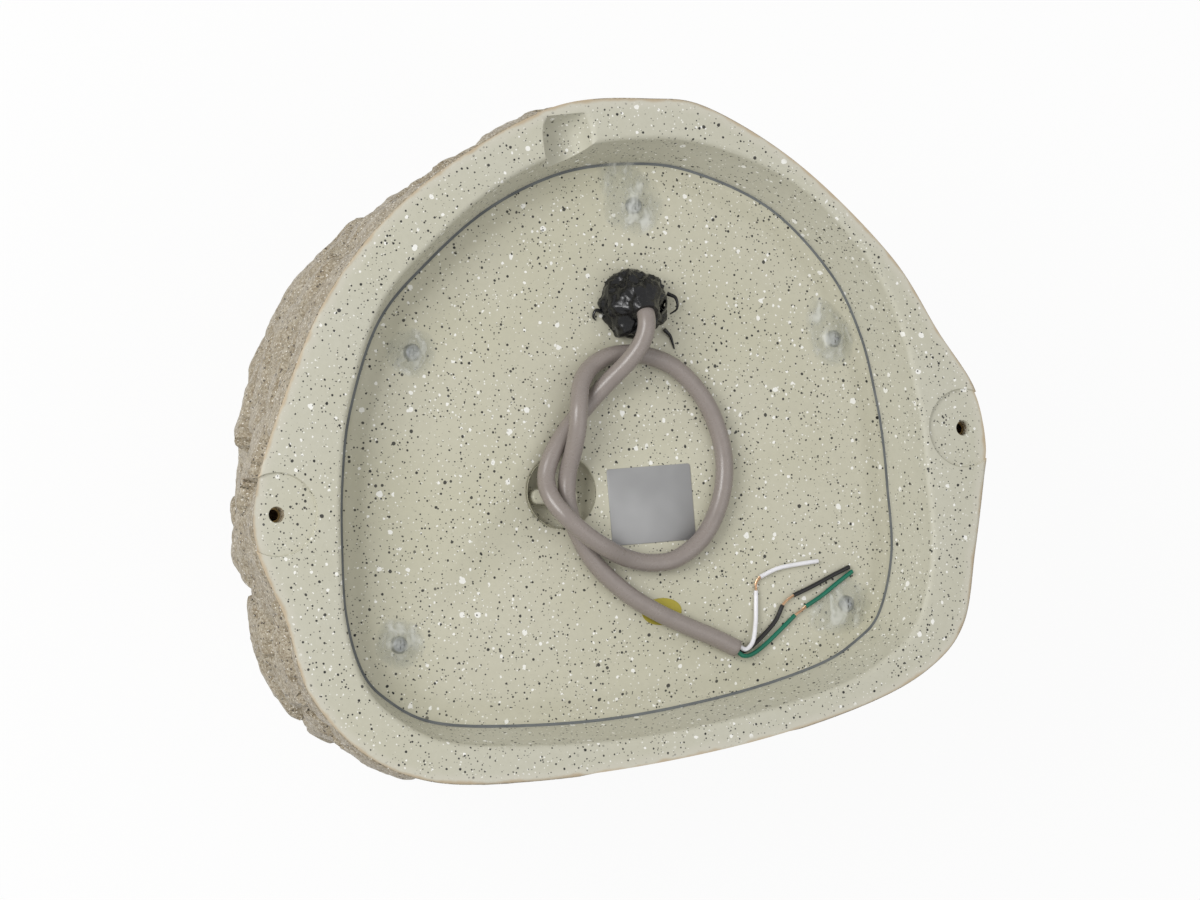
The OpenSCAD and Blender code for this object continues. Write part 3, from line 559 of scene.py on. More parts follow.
@dataclass(frozen=True)
class Foil:
    """Printed foil with no print: silver or gold, a little crinkled, with a painted sheen of lighter patches
    in its colour.
    """

    name: str
    colour: Colour
    metallic: float = 0.3

    def dress(self) -> bpy.types.Material:
        """Makes the material."""
        graph = Graph(self.name)
        place = graph.place()
        # Lighter cloudy patches mixed into the foil's colour stand for its sheen: painted sheen.
        painted_sheen = graph.noise(place, 24.0, 2.0)
        pale = shaded(self.colour, 1.25)
        return graph.finish({
            "Base Color": graph.mix(painted_sheen.step(0.35, 0.65) * 0.5, self.colour, pale),
            "Roughness": graph.noise(place, 3.0, 2.0) * 0.12 + 0.36,
            "Metallic": self.metallic,
            "Normal": graph.bump(graph.noise(place, 6.0, 3.0), 0.06, 0.4),
        })


# Surfaces


def eased(share: Any) -> Any:
    """Smooth step of a share from 0 to 1."""
    return share * share * (3 - 2 * share)


def circle(sides: int) -> Array:
    """Points of the unit circle in plan."""
    turn = np.linspace(0, 2 * np.pi, sides, endpoint=False)
    return np.column_stack([np.cos(turn), np.sin(turn)])


def at_height(plan: Array, height: float) -> Array:
    """Places in plan, all at one height."""
    return np.column_stack([plan, np.full(len(plan), height)])


def smooth(mesh: bpy.types.Mesh, sharp: float) -> None:
    """Shades a mesh smooth, keeping edges sharp from an angle in degrees."""
    mesh.shade_smooth()
    mesh.set_sharp_from_angle(angle=math.radians(sharp))


def linked(name: str, data: bpy.types.ID) -> bpy.types.Object:
    """An object of a mesh, lamp or camera, linked to the scene."""
    made = bpy.data.objects.new(name, data)
    bpy.context.scene.collection.objects.link(made)
    return made


def hashed(cells: Array, seed: float) -> Array:
    """Repeatable number from 0 to 1 for each cell: the fraction of a large multiple of a sine.

    Args:
        cells: whole numbers, three to a cell.
        seed: picks another set of numbers.

    Returns:
        One number for each cell.
    """
    value = np.sin(cells @ np.array([12.9898, 78.233, 37.719]) + seed * 19.19) * 43758.5453
    return value - np.floor(value)


def cloud(points: Array, size: float, seed: float, layers: int = 1) -> Array:
    """Smooth noise from -1 to 1: hashed values at a grid's corners, blended by smooth steps.

    Args:
        points: places in millimetres, three numbers each.
        size: width of the grid's cells.
        seed: picks another noise.
        layers: number of layers, each half as wide and strong as the one before.

    Returns:
        One number for each place.
    """
    total, weight = np.zeros(len(points)), 0.0
    for layer in range(layers):
        scaled = points * 2.0**layer / size
        low = np.floor(scaled)
        share = scaled - low
        share = eased(share)
        value = np.zeros(len(points))
        for corner in np.ndindex(2, 2, 2):
            part = np.prod(np.where(np.array(corner) == 1, share, 1 - share), axis=1)
            value += part * hashed(low + corner, seed + layer)
        total += (2 * value - 1) * 0.5**layer
        weight += 0.5**layer
    return total / weight


@dataclass
class Chips:
    """Cell pattern at a set of places: distance to the border, height pick and tilt."""

    border: Array
    pick: Array
    tilt: Array


def chipped(points: Array, size: Triple, seed: float) -> Chips:
    """Nearest and second nearest of one jittered site in each cell of a grid.

    Args:
        points: places in millimetres.
        size: the cells' widths along the three axes.
        seed: picks another pattern.

    Returns:
        border is the second distance less the first, pick a number of the nearest cell, and
        tilt the offset from its site along a direction of its own.
    """
    scaled = points / np.array(size)
    base = np.floor(scaled)
    first = np.full(len(points), 9.0)
    second = np.full(len(points), 9.0)
    pick, tilt = np.zeros(len(points)), np.zeros(len(points))
    for step in np.ndindex(3, 3, 3):
        cell = base + np.array(step) - 1
        site = cell + np.stack([hashed(cell, seed + k) for k in (1, 2, 3)], axis=1)
        offset = scaled - site
        away = np.linalg.norm(offset, axis=1)
        lean = np.stack([hashed(cell, seed + k) - 0.5 for k in (5, 6, 7)], axis=1)
        nearer = away < first
        second = np.where(nearer, first, np.minimum(second, away))
        pick = np.where(nearer, hashed(cell, seed + 4), pick)
        tilt = np.where(nearer, np.sum(offset * lean, axis=1), tilt)
        first = np.where(nearer, away, first)
    return Chips(second - first, pick, tilt)


def grid_faces(rows: int, columns: int, closed: bool = False) -> Array:
    """Quads between rings of points, each ring closed on itself.

    Args:
        rows: number of rings.
        columns: points in a ring.
        closed: whether the last ring joins the first.

    Returns:
        Four point numbers for each quad.
    """
    j, i = np.meshgrid(np.arange(rows if closed else rows - 1), np.arange(columns), indexing="ij")
    after, beside = (j + 1) % rows, (i + 1) % columns
    corners = [j * columns + i, j * columns + beside, after * columns + beside, after * columns + i]
    return np.stack([c.ravel() for c in corners], axis=1)


def make_piece(
    name: str, points: Array, quads: Array, caps: Sequence[Sequence[int]] = (), sharp: float = 40
) -> bpy.types.Object:
    """Makes a mesh object with its faces outwards: a negative volume turns every face round.

    Args:
        name: the piece's name.
        points: places in millimetres.
        quads: four point numbers for each quad.
        caps: further faces of any number of points.
        sharp: angle in degrees from which an edge stays sharp.

    Returns:
        The object, linked to the scene.
    """
    mesh = bpy.data.meshes.new(name)
    faces = quads.tolist() + [list(c) for c in caps]
    mesh.from_pydata((points * MM).tolist(), [], faces)
    corners = points[quads]
    volume = np.sum(corners[:, 0] * np.cross(corners[:, 1], corners[:, 2]))
    volume += np.sum(corners[:, 0] * np.cross(corners[:, 2], corners[:, 3]))
    for cap in caps:
        ring = points[np.array(cap)]
        volume += np.sum(ring[0] * np.cross(ring[1:-1], ring[2:]))
    if volume < 0:
        mesh.flip_normals()
    smooth(mesh, sharp)
    return linked(name, mesh)


def ring_stack(name: str, rings: Array, closed: bool = False, sharp: float = 40) -> bpy.types.Object:
    """Closed solid through rings of points: flat caps at both ends, or a torus.

    Args:
        name: the piece's name.
        rings: array of rings, points in a ring, three numbers.
        closed: whether the last ring joins the first.
        sharp: angle in degrees from which an edge stays sharp.

    Returns:
        The object.
    """
    rows, columns = rings.shape[:2]
    last = (rows - 1) * columns
    caps = [] if closed else [list(range(columns))[::-1], list(range(last, last + columns))]
    return make_piece(name, rings.reshape(-1, 3), grid_faces(rows, columns, closed), caps, sharp)


def lathe(name: str, profile: Sequence[Pair], sides: int = 96) -> bpy.types.Object:
    """Turned solid: each radius and height of the profile becomes a circle about Z."""
    return ring_stack(name, np.array([at_height(r * circle(sides), z) for r, z in profile]))


def moved(piece: bpy.types.Object, matrix: Matrix) -> bpy.types.Object:
    """Puts a turn and a shift in millimetres into a piece's mesh."""
    matrix = matrix.copy()
    matrix.translation = matrix.translation * MM
    piece.data.transform(matrix)
    return piece


def combine(piece: bpy.types.Object, others: Sequence[bpy.types.Object], how: str) -> None:
    """Cuts other solids from a piece or joins them to it, and removes them.

    Args:
        piece: the solid that stays.
        others: the solids that are used up.
        how: DIFFERENCE or UNION.
    """
    for other in others:
        modifier = piece.modifiers.new("join", "BOOLEAN")
        modifier.operation = how
        modifier.solver = "MANIFOLD"
        modifier.object = other
        view = bpy.context.evaluated_depsgraph_get()
        mesh = bpy.data.meshes.new_from_object(piece.evaluated_get(view))
        piece.modifiers.clear()
        piece.data = mesh
        bpy.data.objects.remove(other)


def mesh_points(piece: bpy.types.Object) -> Array:
    """The piece's points in millimetres."""
    flat = np.empty(len(piece.data.vertices) * 3)
    piece.data.vertices.foreach_get("co", flat)
    return flat.reshape(-1, 3) / MM


def mark(piece: bpy.types.Object, name: str, values: Array) -> None:
    """Stores a number at each point of a piece for its material."""
    held = piece.data.attributes.new(name, "FLOAT", "POINT")
    held.data.foreach_set("value", values.astype(np.float32))


def curve_at(points: Array, places: Array, closed: bool) -> Array:
    """Smooth curve through points: the cubic whose slope at a point is half its neighbours' span.

    Args:
        points: the curve's points.
        places: places along it, counted in points.
        closed: whether the curve joins up.

    Returns:
        One point for each place.
    """
    count = len(points)
    if closed:
        whole = np.floor(places).astype(int)
        a, b, c, d = (points[(whole + k) % count] for k in (-1, 0, 1, 2))
    else:
        whole = np.minimum(np.floor(places).astype(int), count - 2)
        long = np.vstack([2 * points[0] - points[1], points, 2 * points[-1] - points[-2]])
        a, b, c, d = (long[whole + k] for k in (0, 1, 2, 3))
    t = (places - whole)[:, None]
    cubic = 1.5 * (b - c) + (d - a) / 2
    return b + t * (c - a) / 2 + t**2 * (a - 2.5 * b + 2 * c - d / 2) + t**3 * cubic


def tube_rings(path: Array, radii: Array, sides: int) -> Array:
    """Rings square to a path, their first point carried along without twist.

    Args:
        path: the centreline's points.
        radii: one radius for each point.
        sides: points in a ring.

    Returns:
        The rings.
    """
    slopes = np.gradient(path, axis=0)
    slopes /= np.linalg.norm(slopes, axis=1)[:, None]
    side = np.cross(slopes[0], [0.0, 1.0, 0.0] if abs(slopes[0][2]) > 0.9 else [0.0, 0.0, 1.0])
    frames = []
    for slope in slopes:
        side = side - slope * (side @ slope)
        side = side / np.linalg.norm(side)
        frames.append((side, np.cross(slope, side)))
    first = np.array([f[0] for f in frames])[:, None]
    second = np.array([f[1] for f in frames])[:, None]
    turn = np.linspace(0, 2 * np.pi, sides, endpoint=False)[None, :, None]
    return path[:, None] + radii[:, None, None] * (np.cos(turn) * first + np.sin(turn) * second)


def merge(name: str, parts: Sequence[bpy.types.Object]) -> bpy.types.Object:
    """Puts several meshes into one piece, each staying a closed solid of its own."""
    points, faces, base = [], [], 0
    for part in parts:
        points.append(mesh_points(part))
        faces += [[base + v for v in p.vertices] for p in part.data.polygons]
        base += len(part.data.vertices)
        bpy.data.objects.remove(part)
    mesh = bpy.data.meshes.new(name)
    mesh.from_pydata((np.vstack(points) * MM).tolist(), [], faces)
    smooth(mesh, MERGED_SHARP)
    return linked(name, mesh)


def settle(piece: bpy.types.Object, material: bpy.types.Material, slot: str, *nodes: str) -> None:
    """Dresses a piece, lets it ride on the part and stand for its nodes, and reports it.

    Args:
        piece: the finished piece.
        material: its finish.
        slot: not used.
        nodes: the frame's nodes that it stands for.
    """
    piece.data.materials.clear()
    piece.data.materials.append(material)
    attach(piece, BODY)
    if nodes:
        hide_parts(*nodes)
    log.info("%s: %d faces", piece.name, len(piece.data.polygons))


def dress_node(nodes: dict[str, bpy.types.Object], name: str, material: bpy.types.Material) -> None:
    """Gives a node of the frame that stays its finish."""
    piece = nodes[name]
    if not piece.material_slots:
        piece.data.materials.append(material)
    for slot in piece.material_slots:
        slot.material = material
    log.info("%s: kept from the frame", name)


# The loudspeaker


@dataclass(frozen=True)
class Outline:
    """Closed smooth outline seen from below the base, scaled to a width and a depth."""

    points: tuple[Pair, ...]
    width: float
    depth: float
    centred: bool

    def at(self, places: Array) -> Array:
        """Points of the outline.

        Args:
            places: places along the outline, counted in its points.

        Returns:
            Points in millimetres: the closed curve, centred on its box where asked, scaled.
        """
        raw = np.array(self.points, float)
        count = len(raw) * 4
        sampled = curve_at(raw, np.arange(count) / 4, True) if self.centred else raw
        low, high = sampled.min(axis=0), sampled.max(axis=0)
        scale = np.array([self.width, self.depth]) / (high - low)
        shift = (low + high) / 2 if self.centred else np.zeros(2)
        return (curve_at(raw, places, True) - shift) * scale

    def out(self, places: Array, by: float) -> Array:
        """Points moved out of the outline along its normal."""
        slope = self.at(places + 0.2) - self.at(places - 0.2)
        slope /= np.linalg.norm(slope, axis=1)[:, None]
        return self.at(places) + by * np.stack([slope[:, 1], -slope[:, 0]], axis=1)

    def reach(self, points: Array) -> Array:
        """Distance of the outline from the origin, in the direction of each point in plan."""
        plan = self.at(np.arange(0, len(self.points), SAMPLE))
        turn = np.arctan2(plan[:, 1], plan[:, 0])
        order = np.argsort(turn)
        long = np.linalg.norm(plan, axis=1)[order]
        return np.interp(np.arctan2(points[:, 1], points[:, 0]), turn[order], long, period=2 * np.pi)


RIM = Outline(
    (
        (172, 2), (166, 26), (148, 51), (124, 85), (80, 123.5), (36, 147), (7, 150),
        (-35, 145), (-77, 123), (-114, 93), (-142, 56), (-160, 14), (-171, -21), (-172, -49),
        (-159, -80), (-148, -112), (-124, -137), (-94, -149), (-55, -150), (0, -144.5),
        (60, -133), (112, -117), (143, -101), (160, -81), (166, -48), (170.5, -16),
    ),
    344.0,
    300.0,
    True,
)
PANEL = Outline(
    (
        (131, 2), (127.5, 22), (120, 50), (105, 78), (75, 106), (36, 121), (5, 122.5),
        (-26, 116.5), (-58, 100), (-86, 75.5), (-108, 49), (-120.5, 11), (-124, -20),
        (-124, -50), (-122, -78), (-115, -101), (-104, -113), (-84, -122.5), (-50, -124.5),
        (0, -121.5), (55, -111.5), (98, -98.5), (118, -87), (129, -74.5), (135, -48), (133, -18),
    ),
    259.0,
    247.0,
    False,
)
CORNERS = len(RIM.points)


@dataclass(frozen=True)
class Levels:
    """Heights above the floor that several pieces share."""

    rim: float = 240.0
    recess: float = 26.0
    rise: float = 1.4
    panel: float = 4.0
    gasket: float = 1.5
    ledge: float = 8.0

    @property
    def band(self) -> float:
        """The panel's edge band."""
        return self.rim - self.recess

    @property
    def field(self) -> float:
        """The panel's raised field."""
        return self.band + self.rise

    @property
    def under(self) -> float:
        """The panel's underside."""
        return self.band - self.panel

    @property
    def seat(self) -> float:
        """The ledge that carries the panel."""
        return self.under - self.gasket


LEVELS = Levels()


@dataclass(frozen=True)
class Front:
    """The rock's flattened front: its tilt, turn, distance and the loudspeaker's seat."""

    tilt: float = 18.0
    turn: float = 10.7
    distance: float = 133.0
    drop: float = 123.0
    driver_r: float = 82.5
    seat_depth: float = 16.0
    wall: float = 8.0

    @property
    def direction(self) -> Array:
        """Unit vector out of the front."""
        tilt, turn = math.radians(self.tilt), math.radians(self.turn)
        flat = math.cos(tilt)
        return np.array([flat * math.sin(turn), -flat * math.cos(turn), -math.sin(tilt)])

    @property
    def matrix(self) -> Matrix:
        """Turn and shift in millimetres from the seat's own frame, z outwards."""
        tilt, turn = math.radians(self.tilt), math.radians(self.turn)
        away = (self.distance + self.direction[2] * self.drop) / math.cos(tilt)
        middle = (away * math.sin(turn), -away * math.cos(turn), LEVELS.rim - self.drop)
        lean = Matrix.Rotation(math.pi / 2 + tilt, 4, "X")
        return Matrix.Translation(middle) @ Matrix.Rotation(turn, 4, "Z") @ lean

    def pulled(self, points: Array, depth: Array, distance: float) -> Array:
        """Pulls points that stand out of the front back to its plane, towards the middle.

        Args:
            points: places in plan.
            depth: depth of each below the rim.
            distance: the plane's distance from the middle of the base.

        Returns:
            The places, with those beyond the plane scaled onto it.
        """
        face = self.direction
        flat = points @ face[:2]
        out = flat - face[2] * depth
        scale = (distance + face[2] * depth) / np.where(flat > 1, flat, 1)
        return np.where(((out > distance) & (flat > 0))[:, None], points * scale[:, None], points)


@dataclass(frozen=True)
class Bulge:
    """A swelling of the rock's side: place along the outline, reach and extra radius."""

    place: float
    reach: float
    extra: float


@dataclass
class RockHousing:
    """The moulded rock: rough face, rim, recess, ledge, cavity, notch, insert holes and seat."""

    nodes: dict[str, bpy.types.Object]
    front: Front = field(default_factory=Front)
    closing: float = 256.0
    power: float = 2.1
    wall: float = 7.0
    chip_depth: float = 5.0
    lattice_rows: int = 17
    lattice_per_corner: int = 4
    around: int = 22 * CORNERS
    rows: int = 108
    mouth: float = 8.8
    edge_gap: float = 1.8
    rounding: float = 3.0
    ledge_w: float = 22.0
    bulges: tuple[Bulge, ...] = (Bulge(9.5, 1.8, 9), Bulge(12.6, 1.1, -5), Bulge(15.2, 1.2, 4))
    insert_places: Pair = (12.5, 0.33)
    insert_inset: float = 10.5
    notch_at: Pair = (-30.0, 128.0)
    notch_turn: float = 8.0
    notch_w: float = 22.0
    notch_depth: float = 13.0
    notch_lean: float = 0.3
    sharp: float = 48.0
    calm_rim: float = 9.0
    calm_crown: float = 7.0
    edge_drop: float = 0.7
    edge_reach: float = 10.0
    flat_r: float = 18.6

    def share(self, depth: Array) -> Array:
        """Half-width at a depth as a share of the rim's: the oval 1 - (depth/closing)^power."""
        return np.maximum(0, 1 - (depth / self.closing) ** self.power) ** (1 / self.power)

    def swelling(self, places: Array, depth: Array) -> Array:
        """Extra radius: bell curves along the outline times a half sine over the depth."""
        lap = np.zeros(len(places))
        for bulge in self.bulges:
            away = np.abs(places - bulge.place) % CORNERS
            away = np.minimum(away, CORNERS - away)
            lap += bulge.extra * np.exp(-((away / bulge.reach) ** 2))
        return lap * np.sin(np.pi * depth / LEVELS.rim)

    def lattice_chip(self, places: Array, depth: Array) -> Array:
        """Depth of the broad chips: hashed values on the frame's lattice, blended between them."""
        count = CORNERS * self.lattice_per_corner
        top = math.asin(LEVELS.rim / self.closing)
        across = places * self.lattice_per_corner
        down = np.arcsin(np.clip(depth / self.closing, 0, 1)) / top * self.lattice_rows
        total = np.zeros(len(places))
        for step_i, step_j in np.ndindex(2, 2):
            i = np.floor(across).astype(int) + step_i
            j = np.floor(down).astype(int) + step_j
            weight = np.abs(1 - step_i - (across - np.floor(across)))
            weight = weight * np.abs(1 - step_j - (down - np.floor(down)))
            row = j // 2
            broad = ((i + 2 * (row % 2)) % count) // 4
            chip = 0.55 * self.lattice_pick(broad, row) + 0.45 * self.lattice_pick(i % count + 0.5, j)
            chip = chip * np.minimum(1, j / 2) * (j < self.lattice_rows)
            total += weight * chip
        return total * self.chip_depth

    @staticmethod
    def lattice_pick(i: Array, j: Array) -> Array:
        """Repeatable number from 0 to 1: the fraction of a large multiple of a sine in degrees."""
        value = np.sin(np.radians(i * 127.1 + j * 311.7)) * 43758.5453
        return value - np.floor(value)

    def relief(self, base: Array) -> Array:
        """Fine shape of the rock: chips of three sizes with dark joints, and a rough grain.

        Args:
            base: places on the smooth rock.

        Returns:
            Height in millimetres along the outward normal, mostly below zero.
        """
        bent = base + 4.0 * np.stack([cloud(base, 21.0, s, 2) for s in (3, 4, 5)], axis=1)
        large = chipped(bent, (36.0, 36.0, 25.0), 11.0)
        middle = chipped(bent, (14.0, 14.0, 10.0), 23.0)
        small = chipped(base, (5.2, 5.2, 4.4), 37.0)
        height = -2.2 * np.exp(-large.border * 12) + 5.2 * (large.pick - 0.5) + 6.0 * large.tilt
        height += -0.6 * np.exp(-middle.border * 9) + 1.1 * (middle.pick - 0.5) + 1.6 * middle.tilt
        height += 0.28 * (small.pick - 0.5) + 0.5 * small.tilt
        return height + 0.4 * cloud(base, 7.0, 8.0, 3) - 0.6

    def face_rings(self, places: Array) -> Array:
        """Rings of the rough face from the crown up to the rim."""
        angles = np.linspace(math.asin(LEVELS.rim / self.closing), 0, self.rows)
        depths = np.minimum(self.closing * np.sin(angles), LEVELS.rim)
        u = np.tile(places, self.rows)
        depth = np.repeat(depths, len(places))
        edge = RIM.at(u)
        radius = np.linalg.norm(edge, axis=1)
        swell = self.swelling(u, depth)
        free = edge * (self.share(depth) + swell / radius)[:, None]
        plan = self.front.pulled(free, depth, self.front.distance)
        dent = self.lattice_chip(u, depth)
        plan = plan * (1 - dent / np.maximum(np.linalg.norm(plan, axis=1), 1))[:, None]
        base = np.column_stack([plan, LEVELS.rim - depth])
        grid = base.reshape(self.rows, len(places), 3)
        along = np.roll(grid, -1, axis=1) - np.roll(grid, 1, axis=1)
        normal = np.cross(along, np.gradient(grid, axis=0))
        normal /= np.linalg.norm(normal, axis=2)[:, :, None]
        fade = np.clip(depth / self.calm_rim, 0, 1)
        fade = fade * np.clip((LEVELS.rim - depth) / self.calm_crown, 0, 1)
        height = (self.relief(base) * fade).reshape(self.rows, len(places), 1)
        rings = grid + normal * height
        rings[:, :, 2] = np.maximum(rings[:, :, 2], 0.0)
        return rings

    def rim_rings(self, places: Array) -> Array:
        """Rings over the rim's edge, across the rim, round its inner edge and down the recess."""
        outer = RIM.at(places)
        mouth = PANEL.out(places, self.mouth + self.rounding)
        width = np.linalg.norm(mouth - outer, axis=1)[:, None]
        rings = []
        for inward in (0.7, 2.0, 4.0, 7.0, 10.0):
            share = np.minimum(inward / width, inward / 11)
            rings.append((outer + (mouth - outer) * share, LEVELS.rim))
        for turn in np.radians(np.arange(0, 91, 15)):
            by = self.mouth + self.rounding * (1 - math.sin(turn))
            rings.append((PANEL.out(places, by), LEVELS.rim - self.rounding * (1 - math.cos(turn))))
        top = LEVELS.rim - self.rounding
        for share in (0.33, 0.66, 0.93, 1.0):
            by = self.mouth + (self.edge_gap - self.mouth) * share
            rings.append((PANEL.out(places, by), top + (LEVELS.band - top) * share))
        rings.append((PANEL.out(places, self.edge_gap), LEVELS.seat))
        rings.append((PANEL.out(places, -self.ledge_w), LEVELS.seat))
        rings.append((PANEL.out(places, -self.ledge_w), LEVELS.seat - LEVELS.ledge))
        return np.array([at_height(plan, z) for plan, z in rings])

    def cavity_rings(self, places: Array) -> Array:
        """Rings of the smooth cavity from the ledge to the inside of the crown."""
        first = LEVELS.rim - (LEVELS.seat - LEVELS.ledge)
        last = LEVELS.rim - self.wall
        angles = np.linspace(math.asin(first / self.closing), math.asin(last / self.closing), 7)
        rings = []
        for depth in self.closing * np.sin(angles):
            deep = np.full(len(places), depth)
            edge = RIM.at(places)
            radius = np.linalg.norm(edge, axis=1)
            inset = np.minimum(0, self.swelling(places, deep)) - self.wall - self.chip_depth
            plan = edge * np.maximum(0.02, self.share(deep) + inset / radius)[:, None]
            behind = self.front.distance - self.front.seat_depth - self.front.wall
            plan = self.front.pulled(plan, deep, behind)
            rings.append(at_height(plan, LEVELS.rim - depth))
        return np.array(rings)

    def insert_middle(self, place: float) -> Array:
        """Middle of an insert in plan, set in from the rim's outer edge."""
        near = RIM.at(np.array([place - 0.2, place, place + 0.2]))
        slope = near[2] - near[0]
        return near[1] - self.insert_inset * np.array([slope[1], -slope[0]]) / np.linalg.norm(slope)

    def notch_tool(self) -> bpy.types.Object:
        """Round-bottomed groove that opens to the recess and rises before the rim's outer edge."""
        r = self.notch_w / 2
        turn = np.radians(np.linspace(180, 360, 33))
        flare = np.array([[r + 1.6, self.notch_depth - r], [r + 1.6, 9.0]])
        edge = np.column_stack([r * np.cos(turn), r * np.sin(turn)])
        profile = np.vstack([edge, [[r, self.notch_depth - r - 1.6]], flare])
        left = profile[-1:-4:-1] * np.array([-1, 1])
        profile = np.vstack([profile, left])
        top = self.notch_depth - r
        rings = []
        rise = ((-30, 1), (3, 1), (6, 0.94), (8.5, 0.8), (10.5, 0.58), (12, 0.32), (12.8, 0.12))
        for y, share in rise:
            below = profile[:, 1] < top
            lifted = top + (profile[:, 1] - top) * np.where(below, share, 1)
            lean = self.notch_lean * np.where(below, top - profile[:, 1], 0)
            narrow = (profile[:, 0] - lean) * (0.72 + 0.28 * share)
            rings.append(np.column_stack([narrow, np.full(len(profile), float(y)), lifted]))
        tool = ring_stack("notch_tool", np.array(rings))
        at = (self.notch_at[0], self.notch_at[1], LEVELS.rim - self.notch_depth + r)
        turned = Matrix.Rotation(math.radians(self.notch_turn), 4, "Z")
        return moved(tool, Matrix.Translation(at) @ turned)

    def seat_tool(self) -> bpy.types.Object:
        """Stepped round tool for the loudspeaker's seat and the hole behind it."""
        hole, seat, deep = self.front.driver_r - 9, self.front.driver_r + 6, self.front.seat_depth
        profile = [(hole, -deep - 14), (hole, -deep), (seat, -deep), (seat, 14)]
        return moved(lathe("seat_tool", profile), self.front.matrix)

    def insert_tool(self, place: float) -> bpy.types.Object:
        """Stepped round tool for an insert, its mouth and the shallow flat around it."""
        profile = [(4.2, -21), (4.2, -8), (3.3, -8), (3.3, -1.9), (3.6, -1.5), (17.4, -1.5), (18.3, 1)]
        middle = self.insert_middle(place)
        at = Matrix.Translation((middle[0], middle[1], LEVELS.rim))
        return moved(lathe("insert_tool", profile, 64), at)

    def mark_surfaces(self, piece: bpy.types.Object) -> None:
        """Marks the rough face and the distance from the rim's outer edge at each point."""
        points = mesh_points(piece)
        radius = np.linalg.norm(points[:, :2], axis=1)
        rim = RIM.reach(points)
        below = points[:, 2] < LEVELS.rim - 0.35
        flat = np.empty(len(points) * 3)
        piece.data.vertices.foreach_get("normal", flat)
        normals = flat.reshape(-1, 3)
        radial = np.sum(normals[:, :2] * points[:, :2], axis=1) / np.maximum(radius, 1)
        outside = 0.8 * radial - 0.6 * normals[:, 2] > -0.2
        turn = math.radians(self.notch_turn)
        across = np.array([math.cos(turn), math.sin(turn)])
        aside = np.abs((points[:, :2] - np.array(self.notch_at)) @ across)
        notch = (aside < self.notch_w / 2 + 1.8) & (points[:, 2] > LEVELS.rim - self.notch_depth - 0.3)
        resin = notch & (points[:, 1] > 90)
        for place in self.insert_places:
            away = np.linalg.norm(points[:, :2] - self.insert_middle(place), axis=1)
            resin |= (away < self.flat_r) & (points[:, 2] > LEVELS.rim - 1.7)
        rough = below & outside & ~resin
        mark(piece, "rock", rough.astype(float))
        mark(piece, "edge", np.where(rough, 0, np.clip((rim - radius) / self.edge_reach, 0, 1)))

    def build(self) -> None:
        """Makes the housing and dresses the two inserts."""
        places = np.arange(self.around) * CORNERS / self.around
        face = self.face_rings(places)
        face[-1, :, 2] = LEVELS.rim - self.edge_drop
        rings = np.concatenate([face, self.rim_rings(places), self.cavity_rings(places)])
        piece = ring_stack("rock_housing", rings, sharp=self.sharp)
        tools = [self.notch_tool(), self.seat_tool()]
        tools += [self.insert_tool(place) for place in self.insert_places]
        combine(piece, tools, "DIFFERENCE")
        smooth(piece.data, self.sharp)
        self.mark_surfaces(piece)
        settle(piece, RockAndResin().dress(), "rock", "rock_shell")
        brass = Brushed("insert_brass", linear(150, 126, 84), 0.35).dress()
        dress_node(self.nodes, "insert_left", brass)
        dress_node(self.nodes, "insert_right", brass)


class SmearSide(Enum):
    """Which way a smear of sealant is drawn out."""

    ROUND = 0.0
    UP = 90.0
    LEFT = 180.0


@dataclass(frozen=True)
class Smear:
    """A smear of sealant: place, half-width, direction and length of its tail, and noise."""

    at: Pair
    reach: float
    side: SmearSide
    tail: float
    seed: float


